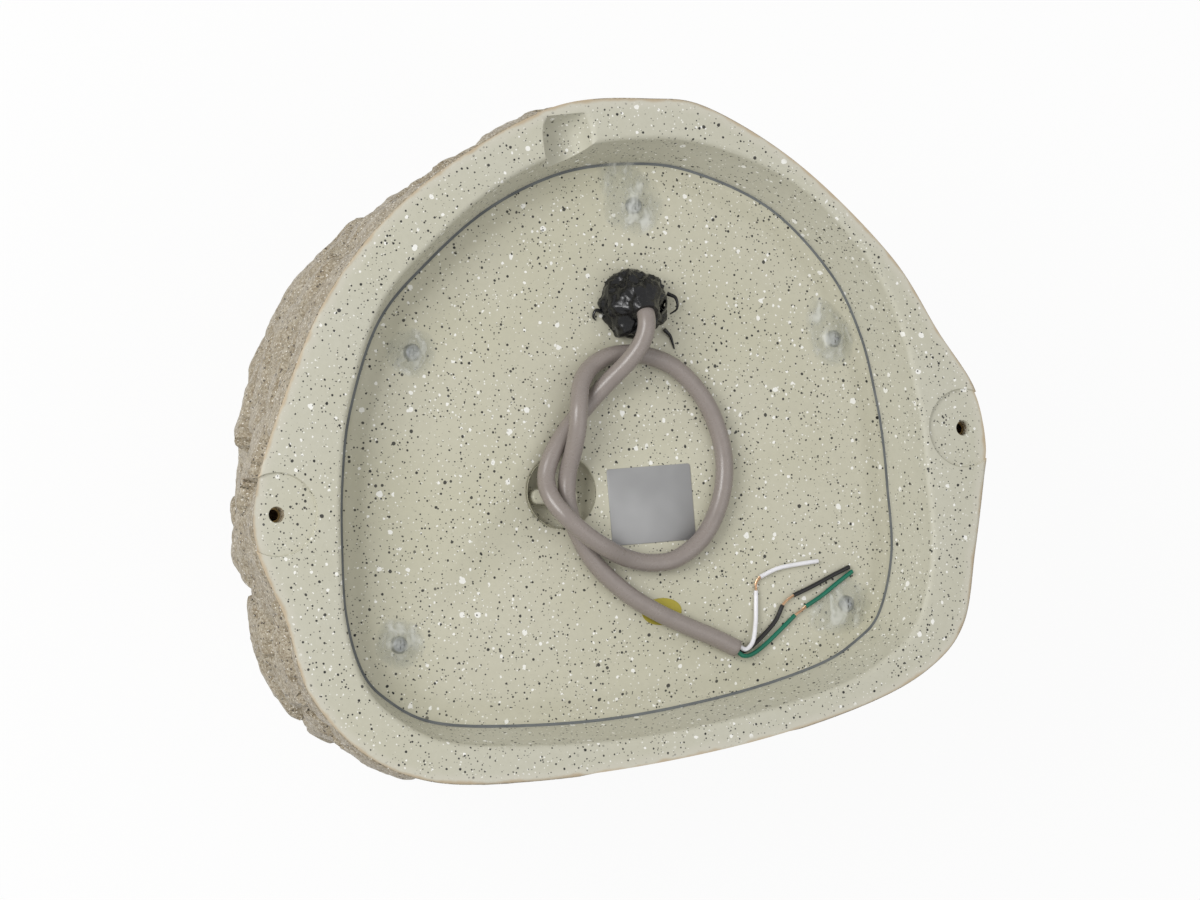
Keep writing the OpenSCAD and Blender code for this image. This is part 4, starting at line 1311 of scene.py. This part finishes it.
@dataclass
class PanelSet:
    """The base panel with its gasket, screws, smears of sealant and the two blank labels."""

    nodes: dict[str, bpy.types.Object]
    around: int = 18 * CORNERS
    sharp: float = 50.0
    slope_from: float = 1.5
    slope_to: float = 12.0
    pocket_at: Pair = (-25.0, -23.0)
    pocket_r: float = 16.0
    pocket_depth: float = 9.0
    bar_size: Pair = (22.0, 6.8)
    bar_shift: Pair = (-2.4, -2.2)
    cup_depth: float = 13.5
    cable_hole: Pair = EXIT
    cable_r: float = 4.3
    smears: tuple[Smear, ...] = (
        Smear((9, 105), 14.5, SmearSide.UP, 12.0, 1.0),
        Smear((106.5, 48.5), 12.0, SmearSide.UP, 10.0, 2.0),
        Smear((112.5, -71.75), 13.0, SmearSide.LEFT, 9.0, 3.0),
        Smear((-94.5, 36.5), 11.5, SmearSide.ROUND, 0.0, 4.0),
        Smear((-100, -90.25), 11.5, SmearSide.ROUND, 0.0, 5.0),
    )

    def panel_rings(self) -> Array:
        """Rings up the panel's edge, over its band and up the slope to the field."""
        places = np.arange(self.around) * CORNERS / self.around
        steps = [(0.0, LEVELS.under), (0.7, LEVELS.band - 0.9), (0.5, LEVELS.band - 0.3)]
        steps.append((-0.9, LEVELS.band))
        for share in np.linspace(0, 1, 12):
            by = -self.slope_from - (self.slope_to - self.slope_from) * share
            steps.append((by, LEVELS.band + LEVELS.rise * eased(share)))
        return np.array([at_height(PANEL.out(places, by), z) for by, z in steps])

    def bar_rings(self) -> Array:
        """Rings of the grip bar: a stadium, drawn up and rounded in at its top."""
        long, wide = self.bar_size
        turn = np.linspace(0, 2 * np.pi, 48, endpoint=False)
        straight = (long - wide) / 2 * np.sign(np.cos(turn) + 1e-9)
        top, bend = -1.5, 1.6
        rings = []
        heights = [(0.0, -self.pocket_depth - 0.5), (0.0, top - bend)]
        for a in np.radians([20, 40, 60, 80]):
            heights.append((bend * (1 - math.cos(a)), top - bend * (1 - math.sin(a))))
        for inset, z in heights:
            r = wide / 2 - inset
            x = straight + r * np.cos(turn) + self.pocket_at[0] + self.bar_shift[0]
            y = r * np.sin(turn) + self.pocket_at[1] + self.bar_shift[1]
            rings.append(np.column_stack([x, y, np.full(48, z + LEVELS.field)]))
        return np.array(rings)

    def build_panel(self) -> None:
        """Makes the panel with its pocket, bar and cable hole."""
        piece = ring_stack("base_plate", self.panel_rings(), sharp=self.sharp)
        floor, curve = self.pocket_r - 9, 9.0
        profile = [(floor * 0.5, -self.pocket_depth)]
        for a in np.radians(np.arange(0, 91, 10)):
            profile.append((floor + curve * math.sin(a), -self.pocket_depth + curve * (1 - math.cos(a))))
        profile += [(self.pocket_r + 0.1, -1.2), (self.pocket_r + 0.5, -0.4), (self.pocket_r + 1.4, 0.02)]
        profile.append((self.pocket_r + 1.4, 2.0))
        back = (self.pocket_at[0], self.pocket_at[1], LEVELS.field - self.cup_depth)
        cup = lathe("pocket_cup", [(self.pocket_r + 3, 0), (self.pocket_r + 3, self.cup_depth - 2)])
        combine(piece, [moved(cup, Matrix.Translation(back))], "UNION")
        dish = moved(lathe("pocket_tool", profile), Matrix.Translation((*self.pocket_at, LEVELS.field)))
        hole = lathe("hole_tool", [(self.cable_r, -9), (self.cable_r, 3)], 48)
        hole = moved(hole, Matrix.Translation((*self.cable_hole, LEVELS.field)))
        combine(piece, [dish, hole], "DIFFERENCE")
        combine(piece, [ring_stack("grip_bar", self.bar_rings())], "UNION")
        smooth(piece.data, self.sharp)
        warm = SpeckledResin(name="panel_resin", ground=linear(194, 191, 172), warm=linear(187, 184, 160))
        settle(piece, warm.dress(), "panel", "base_panel")

    def surface_height(self, plan: Array) -> Array:
        """Height of the panel under places in plan: the field, the slope or the band."""
        inward = PANEL.reach(plan) - np.linalg.norm(plan, axis=1)
        share = np.clip((inward - self.slope_from) / (self.slope_to - self.slope_from), 0, 1)
        return LEVELS.band + LEVELS.rise * eased(share)

    def build_smear(self, smear: Smear) -> bpy.types.Object:
        """Makes one smear as a height over polar rings round its screw.

        The edge's radius wanders with the angle and is drawn out on the tail's side. The height
        is a collar round the screw's head that thins to nothing at the edge, with swirled ridges.
        """
        rows, columns = 26, 96
        turn = np.linspace(0, 2 * np.pi, columns, endpoint=False)
        ring = at_height(circle(columns), 0.0)
        wander = 1 + 0.16 * cloud(ring * 14, 12.0, smear.seed, 2)
        towards = np.cos(turn - math.radians(smear.side.value))
        tail = smear.tail * np.maximum(0, towards) ** 7
        share = np.linspace(0.0, 1, rows)[:, None]
        radius = share * (smear.reach * wander + tail)[None, :]
        swirl = turn[None, :] + 0.5 * share
        plan = np.stack([smear.at[0] + radius * np.cos(swirl), smear.at[1] + radius * np.sin(swirl)], axis=2)
        flat = plan.reshape(-1, 2)
        ground = self.surface_height(flat).reshape(rows, columns)
        collar = 2.6 * np.exp(-((radius / 6.5) ** 4)) + 1.1 * (1 - share) * np.ones_like(radius)
        spots = np.column_stack([flat, np.full(len(flat), smear.seed * 30)])
        ridges = 0.55 * np.abs(cloud(spots, 5.0, 6.0, 2)).reshape(rows, columns)
        height = (collar + ridges) * (1 - share**5) + 0.05
        top = np.dstack([plan, ground + height])
        low = np.dstack([plan, ground + 0.02])
        rings = np.concatenate([top[1:], low[:0:-1]])
        piece = ring_stack("smear", rings)
        milk = np.clip(1.25 * (1 - share**3) * np.ones((rows, columns)), 0, 1)
        milk = np.concatenate([milk[1:], milk[:0:-1]]).ravel()
        mark(piece, "milk", milk)
        return piece

    def build_sealant(self) -> None:
        """Makes the smears over the screws as one piece."""
        parts = [self.build_smear(smear) for smear in self.smears]
        milk = np.concatenate([self.read(part, "milk") for part in parts])
        piece = merge("sealant_smears", parts)
        mark(piece, "milk", milk)
        settle(piece, ClearSealant().dress(), "sealant", "screw_sealant")

    @staticmethod
    def read(piece: bpy.types.Object, name: str) -> Array:
        """The numbers that a piece holds at its points."""
        values = np.empty(len(piece.data.vertices), np.float32)
        piece.data.attributes[name].data.foreach_get("value", values)
        return values

    def build_label(self, name: str, edge: Array, middle: Pair, turn: float) -> bpy.types.Object:
        """Makes a thin blank label: its outline drawn up, with the top edge eased.

        Args:
            name: the piece's name.
            edge: outline about its own middle.
            middle: its place on the panel.
            turn: its turn in degrees.

        Returns:
            The label.
        """
        rings = []
        for scale, z in ((1.0, 0.02), (1.0, 0.24), (0.996, 0.32)):
            rings.append(at_height(edge * scale, z))
        piece = ring_stack(name, np.array(rings), sharp=60)
        at = Matrix.Translation((*middle, LEVELS.field))
        return moved(piece, at @ Matrix.Rotation(math.radians(turn), 4, "Z"))

    def build_labels(self) -> None:
        """Makes the silver label and the oval gold one, both blank."""
        turn = np.linspace(0, 2 * np.pi, 96, endpoint=False)
        corner = 1.2
        side = np.column_stack([np.sign(np.cos(turn)) * (20 - corner), np.sign(np.sin(turn)) * (17 - corner)])
        edge = side + corner * np.column_stack([np.cos(turn), np.sin(turn)])
        silver = self.build_label("silver_label", edge, (17.5, -28.0), 5.0)
        settle(silver, Foil("silver_foil", linear(160, 160, 160)).dress(), "label", "rating_label")
        oval = np.column_stack([9.5 * np.cos(turn), 6.0 * np.sin(turn)])
        gold = self.build_label("gold_label", oval, (22.5, -75.5), 5.0)
        gilt = Foil("gold_foil", linear(158, 146, 52), 0.35).dress()
        settle(gold, gilt, "sticker", "inspection_sticker")

    def build(self) -> None:
        """Makes or dresses everything on the panel."""
        self.build_panel()
        self.build_sealant()
        self.build_labels()
        foam = Moulded("grey_foam", linear(112, 116, 117), linear(88, 92, 94), 0.75, 1.2, 0.12)
        dress_node(self.nodes, "panel_gasket", foam.dress())
        zinc = Brushed("zinc_steel", linear(160, 163, 166), 0.36)
        dress_node(self.nodes, "panel_screws", zinc.dress())


class Role(Enum):
    """The three cores of the cable."""

    WHITE = "white"
    BLACK = "black"
    GREEN = "green"


@dataclass(frozen=True)
class Core:
    """One core: route of its insulation, of its bare copper and of the end that was pulled off."""

    role: Role
    insulation: tuple[Triple, ...]
    bare: tuple[Triple, ...]
    end: tuple[Triple, ...]
    colour: Colour


@dataclass
class CableSet:
    """The free cable, its three stripped cores and the lump of putty that seals its exit."""

    diameter: float = 8.0
    core_diameter: float = 2.0
    lift: float = 4.3
    core_lift: float = 1.3
    route: tuple[Triple, ...] = (
        (8, 61, 0), (8, 61, 2.5), (8, 61, 5), (8, 58.5, 10.5), (8, 53.5, 14), (7.5, 47.5, 14.5),
        (5.5, 41, 12.5), (1, 34, 9.5), (-6, 25.5, 4), (-14, 16, 0.5), (-23.5, 5, 0),
        (-31, -7, 0), (-34, -17, 0.5), (-33, -26, 4.5), (-27, -35, 9), (-18, -42.5, 9.5),
        (-8, -48, 7.5), (3, -52, 2.5), (15, -54, 0), (28, -52, 0), (41, -42, 0),
        (49, -26, 0), (51, -9, 0), (47, 8, 0), (39, 22, 0), (27, 33, 0), (13, 38, 0),
        (-1, 38, 0), (-12, 33, 1), (-19, 25, 5), (-22, 14, 9.5), (-22.5, 4, 9),
        (-23, -5, 5.5), (-24, -15, 1), (-24, -26, 0), (-21, -37, 0), (-12, -53, 0),
        (2, -66, 0), (17, -75, 0), (33, -82, 0), (46, -87, 0), (57, -92, 0),
    )
    cores: tuple[Core, ...] = (
        Core(
            Role.WHITE,
            (
                (57.7, -91, 3.9), (61.2, -92.2, 3.6), (65, -88.5, 2.5), (67, -80, 0.8),
                (67.5, -72, 0), (67.5, -66, 0),
            ),
            ((67.5, -66, 0), (67.6, -62.5, 0), (69.6, -59.8, 0)),
            ((69.6, -59.8, 0), (78, -56, 0), (88, -54, 0), (98, -52.5, 0)),
            linear(233, 232, 236),
        ),
        Core(
            Role.BLACK,
            (
                (57.2, -92.1, 1.7), (60.6, -93.2, 1.2), (65, -91, 0.6), (71, -86, 0),
                (77, -79.5, 0), (80.5, -72.5, 0),
            ),
            ((80.5, -72.5, 0), (83, -70, 0), (86, -68, 0)),
            ((86, -68, 0), (95, -64, 0), (105, -59, 0), (113.5, -55, 0)),
            linear(30, 29, 30),
        ),
        Core(
            Role.GREEN,
            (
                (56.8, -93.3, 3.9), (60.3, -95.2, 3.2), (65.5, -94.2, 1.5), (72, -90, 0.3),
                (79.5, -83.5, 0), (86.5, -77, 0),
            ),
            ((86.5, -77, 0), (89.5, -75, 0), (92, -73, 0)),
            ((92, -73, 0), (100, -68, 0), (108, -62, 0), (115, -57, 0)),
            linear(8, 108, 84),
        ),
    )

    def path(self, points: Sequence[Triple], lift: float, per: int) -> Array:
        """Points along a smooth curve through a route, lifted off the panel's field."""
        placed = np.array(points, float) + np.array([0, 0, LEVELS.field + lift])
        places = np.arange((len(points) - 1) * per + 1) / per
        return curve_at(placed, places, False)

    @staticmethod
    def declare(piece: bpy.types.Object, path: Array, diameter: float, far_end: str, pieces: list) -> None:
        """Turns a cord's path and diameter into metres, and keeps neither."""
        metres = path * MM
        diameter * MM

    def sleeve(self, name: str, path: Array, radius: float, sides: int) -> bpy.types.Object:
        """Makes a tube with a slightly eased, hollowed cut end."""
        slope = path[-1] - path[-2]
        slope = slope / np.linalg.norm(slope)
        ends = np.array([path[-1] + slope * d for d in (0.02, -0.25, -0.9)])
        line = np.vstack([path[:-1], [path[-1] - slope * 0.15], ends[:1]])
        radii = np.append(np.full(len(line) - 1, radius), radius * 0.95)
        rings = tube_rings(line, radii, sides)
        middle = line[-1]
        hollow = ((0.72, -0.05), (0.66, -0.5), (0.3, -0.8))
        inner = [middle + (rings[-1] - middle) * s + slope * d for s, d in hollow]
        return ring_stack(name, np.concatenate([rings, np.array(inner)]), sharp=55)

    def strands(self, path: Array, name: str) -> list[bpy.types.Object]:
        """Makes seven copper strands: one along the path and six twisted round it."""
        made = []
        along = np.concatenate([[0], np.cumsum(np.linalg.norm(np.diff(path, axis=0), axis=1))])
        frames = tube_rings(path, np.ones(len(path)), 4)
        first, second = frames[:, 0] - path, frames[:, 1] - path
        for strand in range(7):
            if strand == 6:
                line = path
            else:
                angle = (strand * np.pi / 3 + along * 1.1)[:, None]
                line = path + 0.4 * (np.cos(angle) * first + np.sin(angle) * second)
            rings = tube_rings(line, np.full(len(line), 0.19), 6)
            made.append(ring_stack(f"{name}_{strand}", rings))
        return made

    def build_cores(self) -> None:
        """Makes the three cores, the ends that were pulled off them and their bare strands."""
        made, bare = [], []
        for core in self.cores:
            slot = f"core_{core.role.value}"
            first = self.path(core.insulation, self.core_lift, 6)
            middle = self.path(core.bare, self.core_lift, 8)
            last = self.path(core.end, self.core_lift, 6)
            radius = self.core_diameter / 2
            dark = shaded(core.colour, 0.8)
            gloss = Moulded(slot, core.colour, dark, 0.32).dress()
            piece = self.sleeve(f"{core.role.value}_insulation", first, radius, 16)
            settle(piece, gloss, slot, f"{core.role.value}_core")
            end = self.sleeve(f"{core.role.value}_pulled_end", last, radius, 16)
            settle(end, gloss, slot)
            made.append((piece, end, first))
            bare += self.strands(middle, core.role.value)
        strands = merge("copper_strands", bare)
        copper = Brushed("bare_copper", linear(222, 186, 152), 0.28).dress()
        settle(strands, copper, "copper", "bare_strands")
        for piece, end, line in made:
            self.declare(piece, line, self.core_diameter, "bare", [end])

    def putty_rings(self) -> Array:
        """Rings of the putty: a squat dome from a ragged foot up to a lip round the cable.

        Each ring lies on a curve from the foot over a knob to the lip. Folded noise pushes the
        surface in and out, most at half height, and the foot wanders in ragged lobes.
        """
        rows, columns, lip_at = 26, 120, 3.6
        foot_r, lip_r, bore_r = 15.0, 5.6, 3.9
        upward = np.array([0, 0, 1])
        path = self.path(self.route, self.lift, 1)
        centre = curve_at(path, np.array([lip_at]), False)[0]
        slope = curve_at(path, np.array([lip_at + 0.1]), False)[0] - centre
        slope = slope / np.linalg.norm(slope)
        across = np.cross([0.0, 1.0, 0.0], slope)
        across /= np.linalg.norm(across)
        up = np.cross(slope, across)
        turn = np.linspace(0, 2 * np.pi, columns, endpoint=False)
        ring = at_height(circle(columns), 0.0)
        lobes = 1 + 0.17 * cloud(ring * 20, 9.0, 2.0, 2) + 0.10 * cloud(ring * 20, 3.6, 5.0, 2)
        foot = np.column_stack([
            EXIT[0] + foot_r * lobes * np.cos(turn), EXIT[1] + foot_r * lobes * np.sin(turn),
            np.full(columns, LEVELS.field + 0.05),
        ])
        lip = centre + lip_r * (np.cos(turn)[:, None] * across + np.sin(turn)[:, None] * up)
        knob_height = 11.5 + 3.5 * cloud(ring * 20, 8.0, 9.0)
        knob = foot * np.array([1, 1, 0]) + np.array([0, 0, LEVELS.field])
        knob = knob + knob_height[:, None] * upward
        share = np.linspace(0, 1, rows)[:, None, None]
        rings = (1 - share) ** 2 * foot + 2 * share * (1 - share) * knob + share**2 * lip
        flat = rings.reshape(-1, 3)
        folds = np.abs(cloud(flat * np.array([1, 1, 1.2]), 10.0, 4.0, 3)) * 2 - 0.5
        folds = folds.reshape(rows, columns, 1) * (np.sin(np.pi * share) ** 0.6)
        out = np.column_stack([np.cos(turn), np.sin(turn), np.full(columns, 0.55)])
        rings = rings - 2.8 * folds * out
        bore = centre + bore_r * (np.cos(turn)[:, None] * across + np.sin(turn)[:, None] * up)
        inner = foot * upward + at_height(np.array(EXIT) + bore_r * circle(columns), 0.0)
        return np.concatenate([rings, bore[None], inner[None]])

    def flaps(self, count: int = 11) -> list[bpy.types.Object]:
        """Makes torn flaps that lie round the lump: flattened tubes winding up its side.

        Args:
            count: number of flaps.

        Returns:
            The flaps.
        """
        made = []
        for number in range(count):
            pick = [float(hashed(np.array([number, k, 1.0]), 6.0)) for k in range(5)]
            share = np.linspace(0, 1, 14)
            first = 2 * np.pi * (number + 0.6 * pick[0]) / count
            turn = first + (0.6 + 0.9 * pick[1]) * share * (1 if pick[2] > 0.35 else -1)
            radius = 15.2 - (4.5 + 3 * pick[3]) * share + 1.2 * np.sin(np.pi * share)
            height = 1.0 + (8 + 4.5 * pick[4]) * share
            path = np.column_stack([
                EXIT[0] + radius * np.cos(turn), EXIT[1] + radius * np.sin(turn), LEVELS.field + height
            ])
            wide = 0.35 + (1.4 + 1.5 * pick[3]) * np.sin(np.pi * (0.12 + 0.8 * share))
            rings = tube_rings(path, wide, 12)
            out = np.column_stack([np.cos(turn), np.sin(turn), np.full(14, 0.5)])
            out /= np.linalg.norm(out, axis=1)[:, None]
            lean = np.sum((rings - path[:, None]) * out[:, None], axis=2)[:, :, None]
            made.append(ring_stack(f"flap_{number}", rings - 0.72 * lean * out[:, None]))
        return made

    def build_putty(self) -> None:
        """Makes the lump with three thin tails drawn off it."""
        lump = ring_stack("lump", self.putty_rings(), closed=True, sharp=60)
        tails = (
            ((23, 50, 2), (26, 47.5, 1.2), (27.5, 44.5, 0.6), (28.5, 41.5, 0.5)),
            ((24, 66, 3), (27.5, 64, 4.5), (28.6, 59.5, 3.5), (26, 57, 1.5)),
            ((-6, 57, 1), (-9.5, 57.5, 1.8), (-10.5, 54.8, 1.2), (-9.2, 53.2, 0.7)),
        )
        parts = [lump, *self.flaps()]
        for number, tail in enumerate(tails):
            path = self.path(tail, 0.0, 6)
            radii = np.linspace(1.0, 0.3, len(path))
            parts.append(ring_stack(f"tail_{number}", tube_rings(path, radii, 8)))
        piece = merge("putty_lump", parts)
        settle(piece, Putty().dress(), "putty", "cable_seal")

    def build(self) -> None:
        """Makes the cable first, then its cores and the putty."""
        path = self.path(self.route, self.lift, 6)
        piece = self.sleeve("jacketed_cable", path, self.diameter / 2, 28)
        settle(piece, CableJacket().dress(), "jacket", "cable")
        self.declare(piece, path, self.diameter, "bare", [])
        self.build_cores()
        self.build_putty()


@dataclass
class InnerParts:
    """Pieces of the frame that keep their shape and get a finish: front, driver and network."""

    nodes: dict[str, bpy.types.Object]

    def build(self) -> None:
        """Dresses the front opening, the driver, the network and the wiring."""
        trim = Moulded("dark_trim", linear(62, 60, 56), linear(50, 48, 45), 0.6)
        black = Moulded("black_paint", linear(44, 44, 46), linear(34, 34, 36), 0.5)
        steel = Brushed("plated_steel", linear(168, 170, 172), 0.34)
        cone = Moulded("cone_plastic", linear(42, 42, 42), linear(34, 34, 34), 0.55, 1.5, 0.08)
        grey = Moulded("inner_jacket", linear(150, 142, 138), linear(132, 125, 121), 0.5)
        finishes = {
            Moulded("grille_paint", linear(96, 91, 82), linear(78, 73, 66), 0.62, 0.5, 0.06): [
                "speaker_grille"
            ],
            trim: ["grille_ring", "driver_gasket", "tweeter_bridge"],
            Woven("grille_cloth", linear(44, 43, 42), linear(20, 20, 20), 0.9): ["grille_cloth"],
            black: ["driver_basket", "driver_screws"],
            cone: ["woofer_cone", "tweeter"],
            Moulded("rubber_roll", linear(32, 32, 33), linear(24, 24, 25), 0.6): ["cone_surround"],
            Woven("treated_cloth", linear(204, 168, 92), linear(170, 134, 66), 1.1): ["spider"],
            Brushed("copper_winding", linear(196, 128, 74), 0.35, (1.0, 1.0, 0.05)): ["voice_coil"],
            steel: ["top_plate", "back_plate", "transformer_frame", "inner_screws"],
            Moulded("ferrite", linear(56, 56, 58), linear(44, 44, 46), 0.7, 0.4, 0.06): ["magnet"],
            Moulded("laminate", linear(128, 92, 52), linear(108, 76, 42), 0.5): ["terminal_strip"],
            Brushed("core_sheets", linear(96, 98, 104), 0.45, (1.0, 1.0, 0.04)): ["transformer_core"],
            Woven("winding_tape", linear(206, 190, 124), linear(182, 164, 96), 2.0): ["transformer_coil"],
            Moulded("green_board", linear(52, 104, 60), linear(42, 88, 50), 0.4): ["crossover_board"],
            Moulded("blue_sleeve", linear(40, 52, 108), linear(30, 40, 88), 0.3): ["crossover_capacitor"],
            grey: ["inner_cable"],
            Moulded("red_wire", linear(176, 32, 28), linear(150, 24, 22), 0.38): ["lead_red"],
            Moulded("black_wire", linear(34, 34, 34), linear(26, 26, 26), 0.38): ["lead_black"],
        }
        for finish, names in finishes.items():
            material = finish.dress()
            for name in names:
                dress_node(self.nodes, name, material)


@dataclass
class Studio:
    """Pale floor, soft lamps and the camera at the photograph's angle."""

    aim: Triple = (-16.3, -5.6, 240.0)
    lean: float = 21.0
    dip: float = 3.0
    distance: float = 1600.0
    lens: float = 110.34
    sensor: float = 36.0

    def view_axes(self) -> tuple[Vector, Vector, Vector]:
        """Right, up and back directions of the camera."""
        lean, dip = math.radians(self.lean), math.radians(self.dip)
        back = Vector((-math.sin(lean) * math.cos(dip), -math.sin(dip), math.cos(lean) * math.cos(dip)))
        right = Vector((0, 1, 0)).cross(back).normalized()
        return right, back.cross(right), back

    def make_camera(self) -> None:
        """Places the camera and makes it the scene's."""
        right, up, back = self.view_axes()
        data = bpy.data.cameras.new("camera")
        data.lens, data.sensor_width = self.lens, self.sensor
        data.clip_end = 20
        camera = linked("camera", data)
        camera.matrix_world = Matrix.Translation((Vector(self.aim) + back * self.distance) * MM) @ Matrix(
            (right, up, back)
        ).transposed().to_4x4()
        bpy.context.scene.camera = camera

    def make_lamp(self, name: str, sides: Triple, energy: float, size: float) -> None:
        """Places a soft square lamp.

        Args:
            name: the lamp's name.
            sides: its place from the aim along the camera's right, up and back, in metres.
            energy: its power in watts.
            size: its side in metres.
        """
        right, up, back = self.view_axes()
        aim = Vector(self.aim) * MM
        place = aim + right * sides[0] + up * sides[1] + back * sides[2]
        data = bpy.data.lights.new(name, "AREA")
        data.energy, data.size = energy, size
        facing = (place - aim).to_track_quat("Z", "Y").to_matrix().to_4x4()
        linked(name, data).matrix_world = Matrix.Translation(place) @ facing

    def make_floor(self) -> None:
        """Makes the floor: white to the camera, with a faint shadow kept."""
        graph = Graph("floor_white")
        diffuse = graph.node("ShaderNodeBsdfDiffuse", None, {"Color": (0.86, 0.86, 0.85, 1)})
        white = graph.node("ShaderNodeEmission", None, {"Color": (1, 1, 1, 1), "Strength": 1.0})
        ray = graph.node("ShaderNodeLightPath")
        seen = Value(graph, ray.outputs["Is Camera Ray"]).at_least(Value(graph, ray.outputs["Is Glossy Ray"]))
        mixed = graph.node(
            "ShaderNodeMixShader", None, {0: seen * 0.92, 1: diffuse.outputs[0], 2: white.outputs[0]}
        )
        graph.node("ShaderNodeOutputMaterial", None, {"Surface": mixed.outputs[0]})
        side = 6000.0
        corners = np.array([[-side, -side, 0], [side, -side, 0], [side, side, 0], [-side, side, 0]])
        mesh = bpy.data.meshes.new("floor")
        mesh.from_pydata(((corners + np.array([0, 0, -0.4])) * MM).tolist(), [], [[0, 1, 2, 3]])
        mesh.materials.append(graph.material)
        floor = linked("floor", mesh)

    def make_world(self, strength: float = 0.62) -> None:
        """Lights everything evenly with white, and shows white behind the floor."""
        world = bpy.data.worlds.new("studio")
        world.use_nodes = True
        tree = world.node_tree
        tree.nodes.clear()
        soft = tree.nodes.new("ShaderNodeBackground")
        soft.inputs["Strength"].default_value = strength
        plain = tree.nodes.new("ShaderNodeBackground")
        ray = tree.nodes.new("ShaderNodeLightPath")
        mixed = tree.nodes.new("ShaderNodeMixShader")
        output = tree.nodes.new("ShaderNodeOutputWorld")
        tree.links.new(ray.outputs["Is Camera Ray"], mixed.inputs[0])
        tree.links.new(soft.outputs[0], mixed.inputs[1])
        tree.links.new(plain.outputs[0], mixed.inputs[2])
        tree.links.new(mixed.outputs[0], output.inputs[0])
        for node in (soft, plain):
            node.inputs["Color"].default_value = (1, 1, 1, 1)
        bpy.context.scene.world = world

    def build(self) -> None:
        """Sets the whole studio up."""
        self.make_camera()
        self.make_floor()
        self.make_world()
        self.make_lamp("key", (-0.8, 0.35, 1.35), 15, 0.8)
        self.make_lamp("fill", (1.2, -0.3, 1.3), 4, 1.4)
        bpy.context.scene.view_settings.view_transform = "Standard"


def main() -> None:
    """Builds the studio, the cable and every other sub-assembly in order."""
    logging.basicConfig(level=logging.INFO, format="%(name)s %(message)s")
    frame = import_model()
    nodes = frame["nodes"]
    Studio().build()
    CableSet().build()
    RockHousing(nodes).build()
    PanelSet(nodes).build()
    InnerParts(nodes).build()


if __name__ == "__main__":
    main()
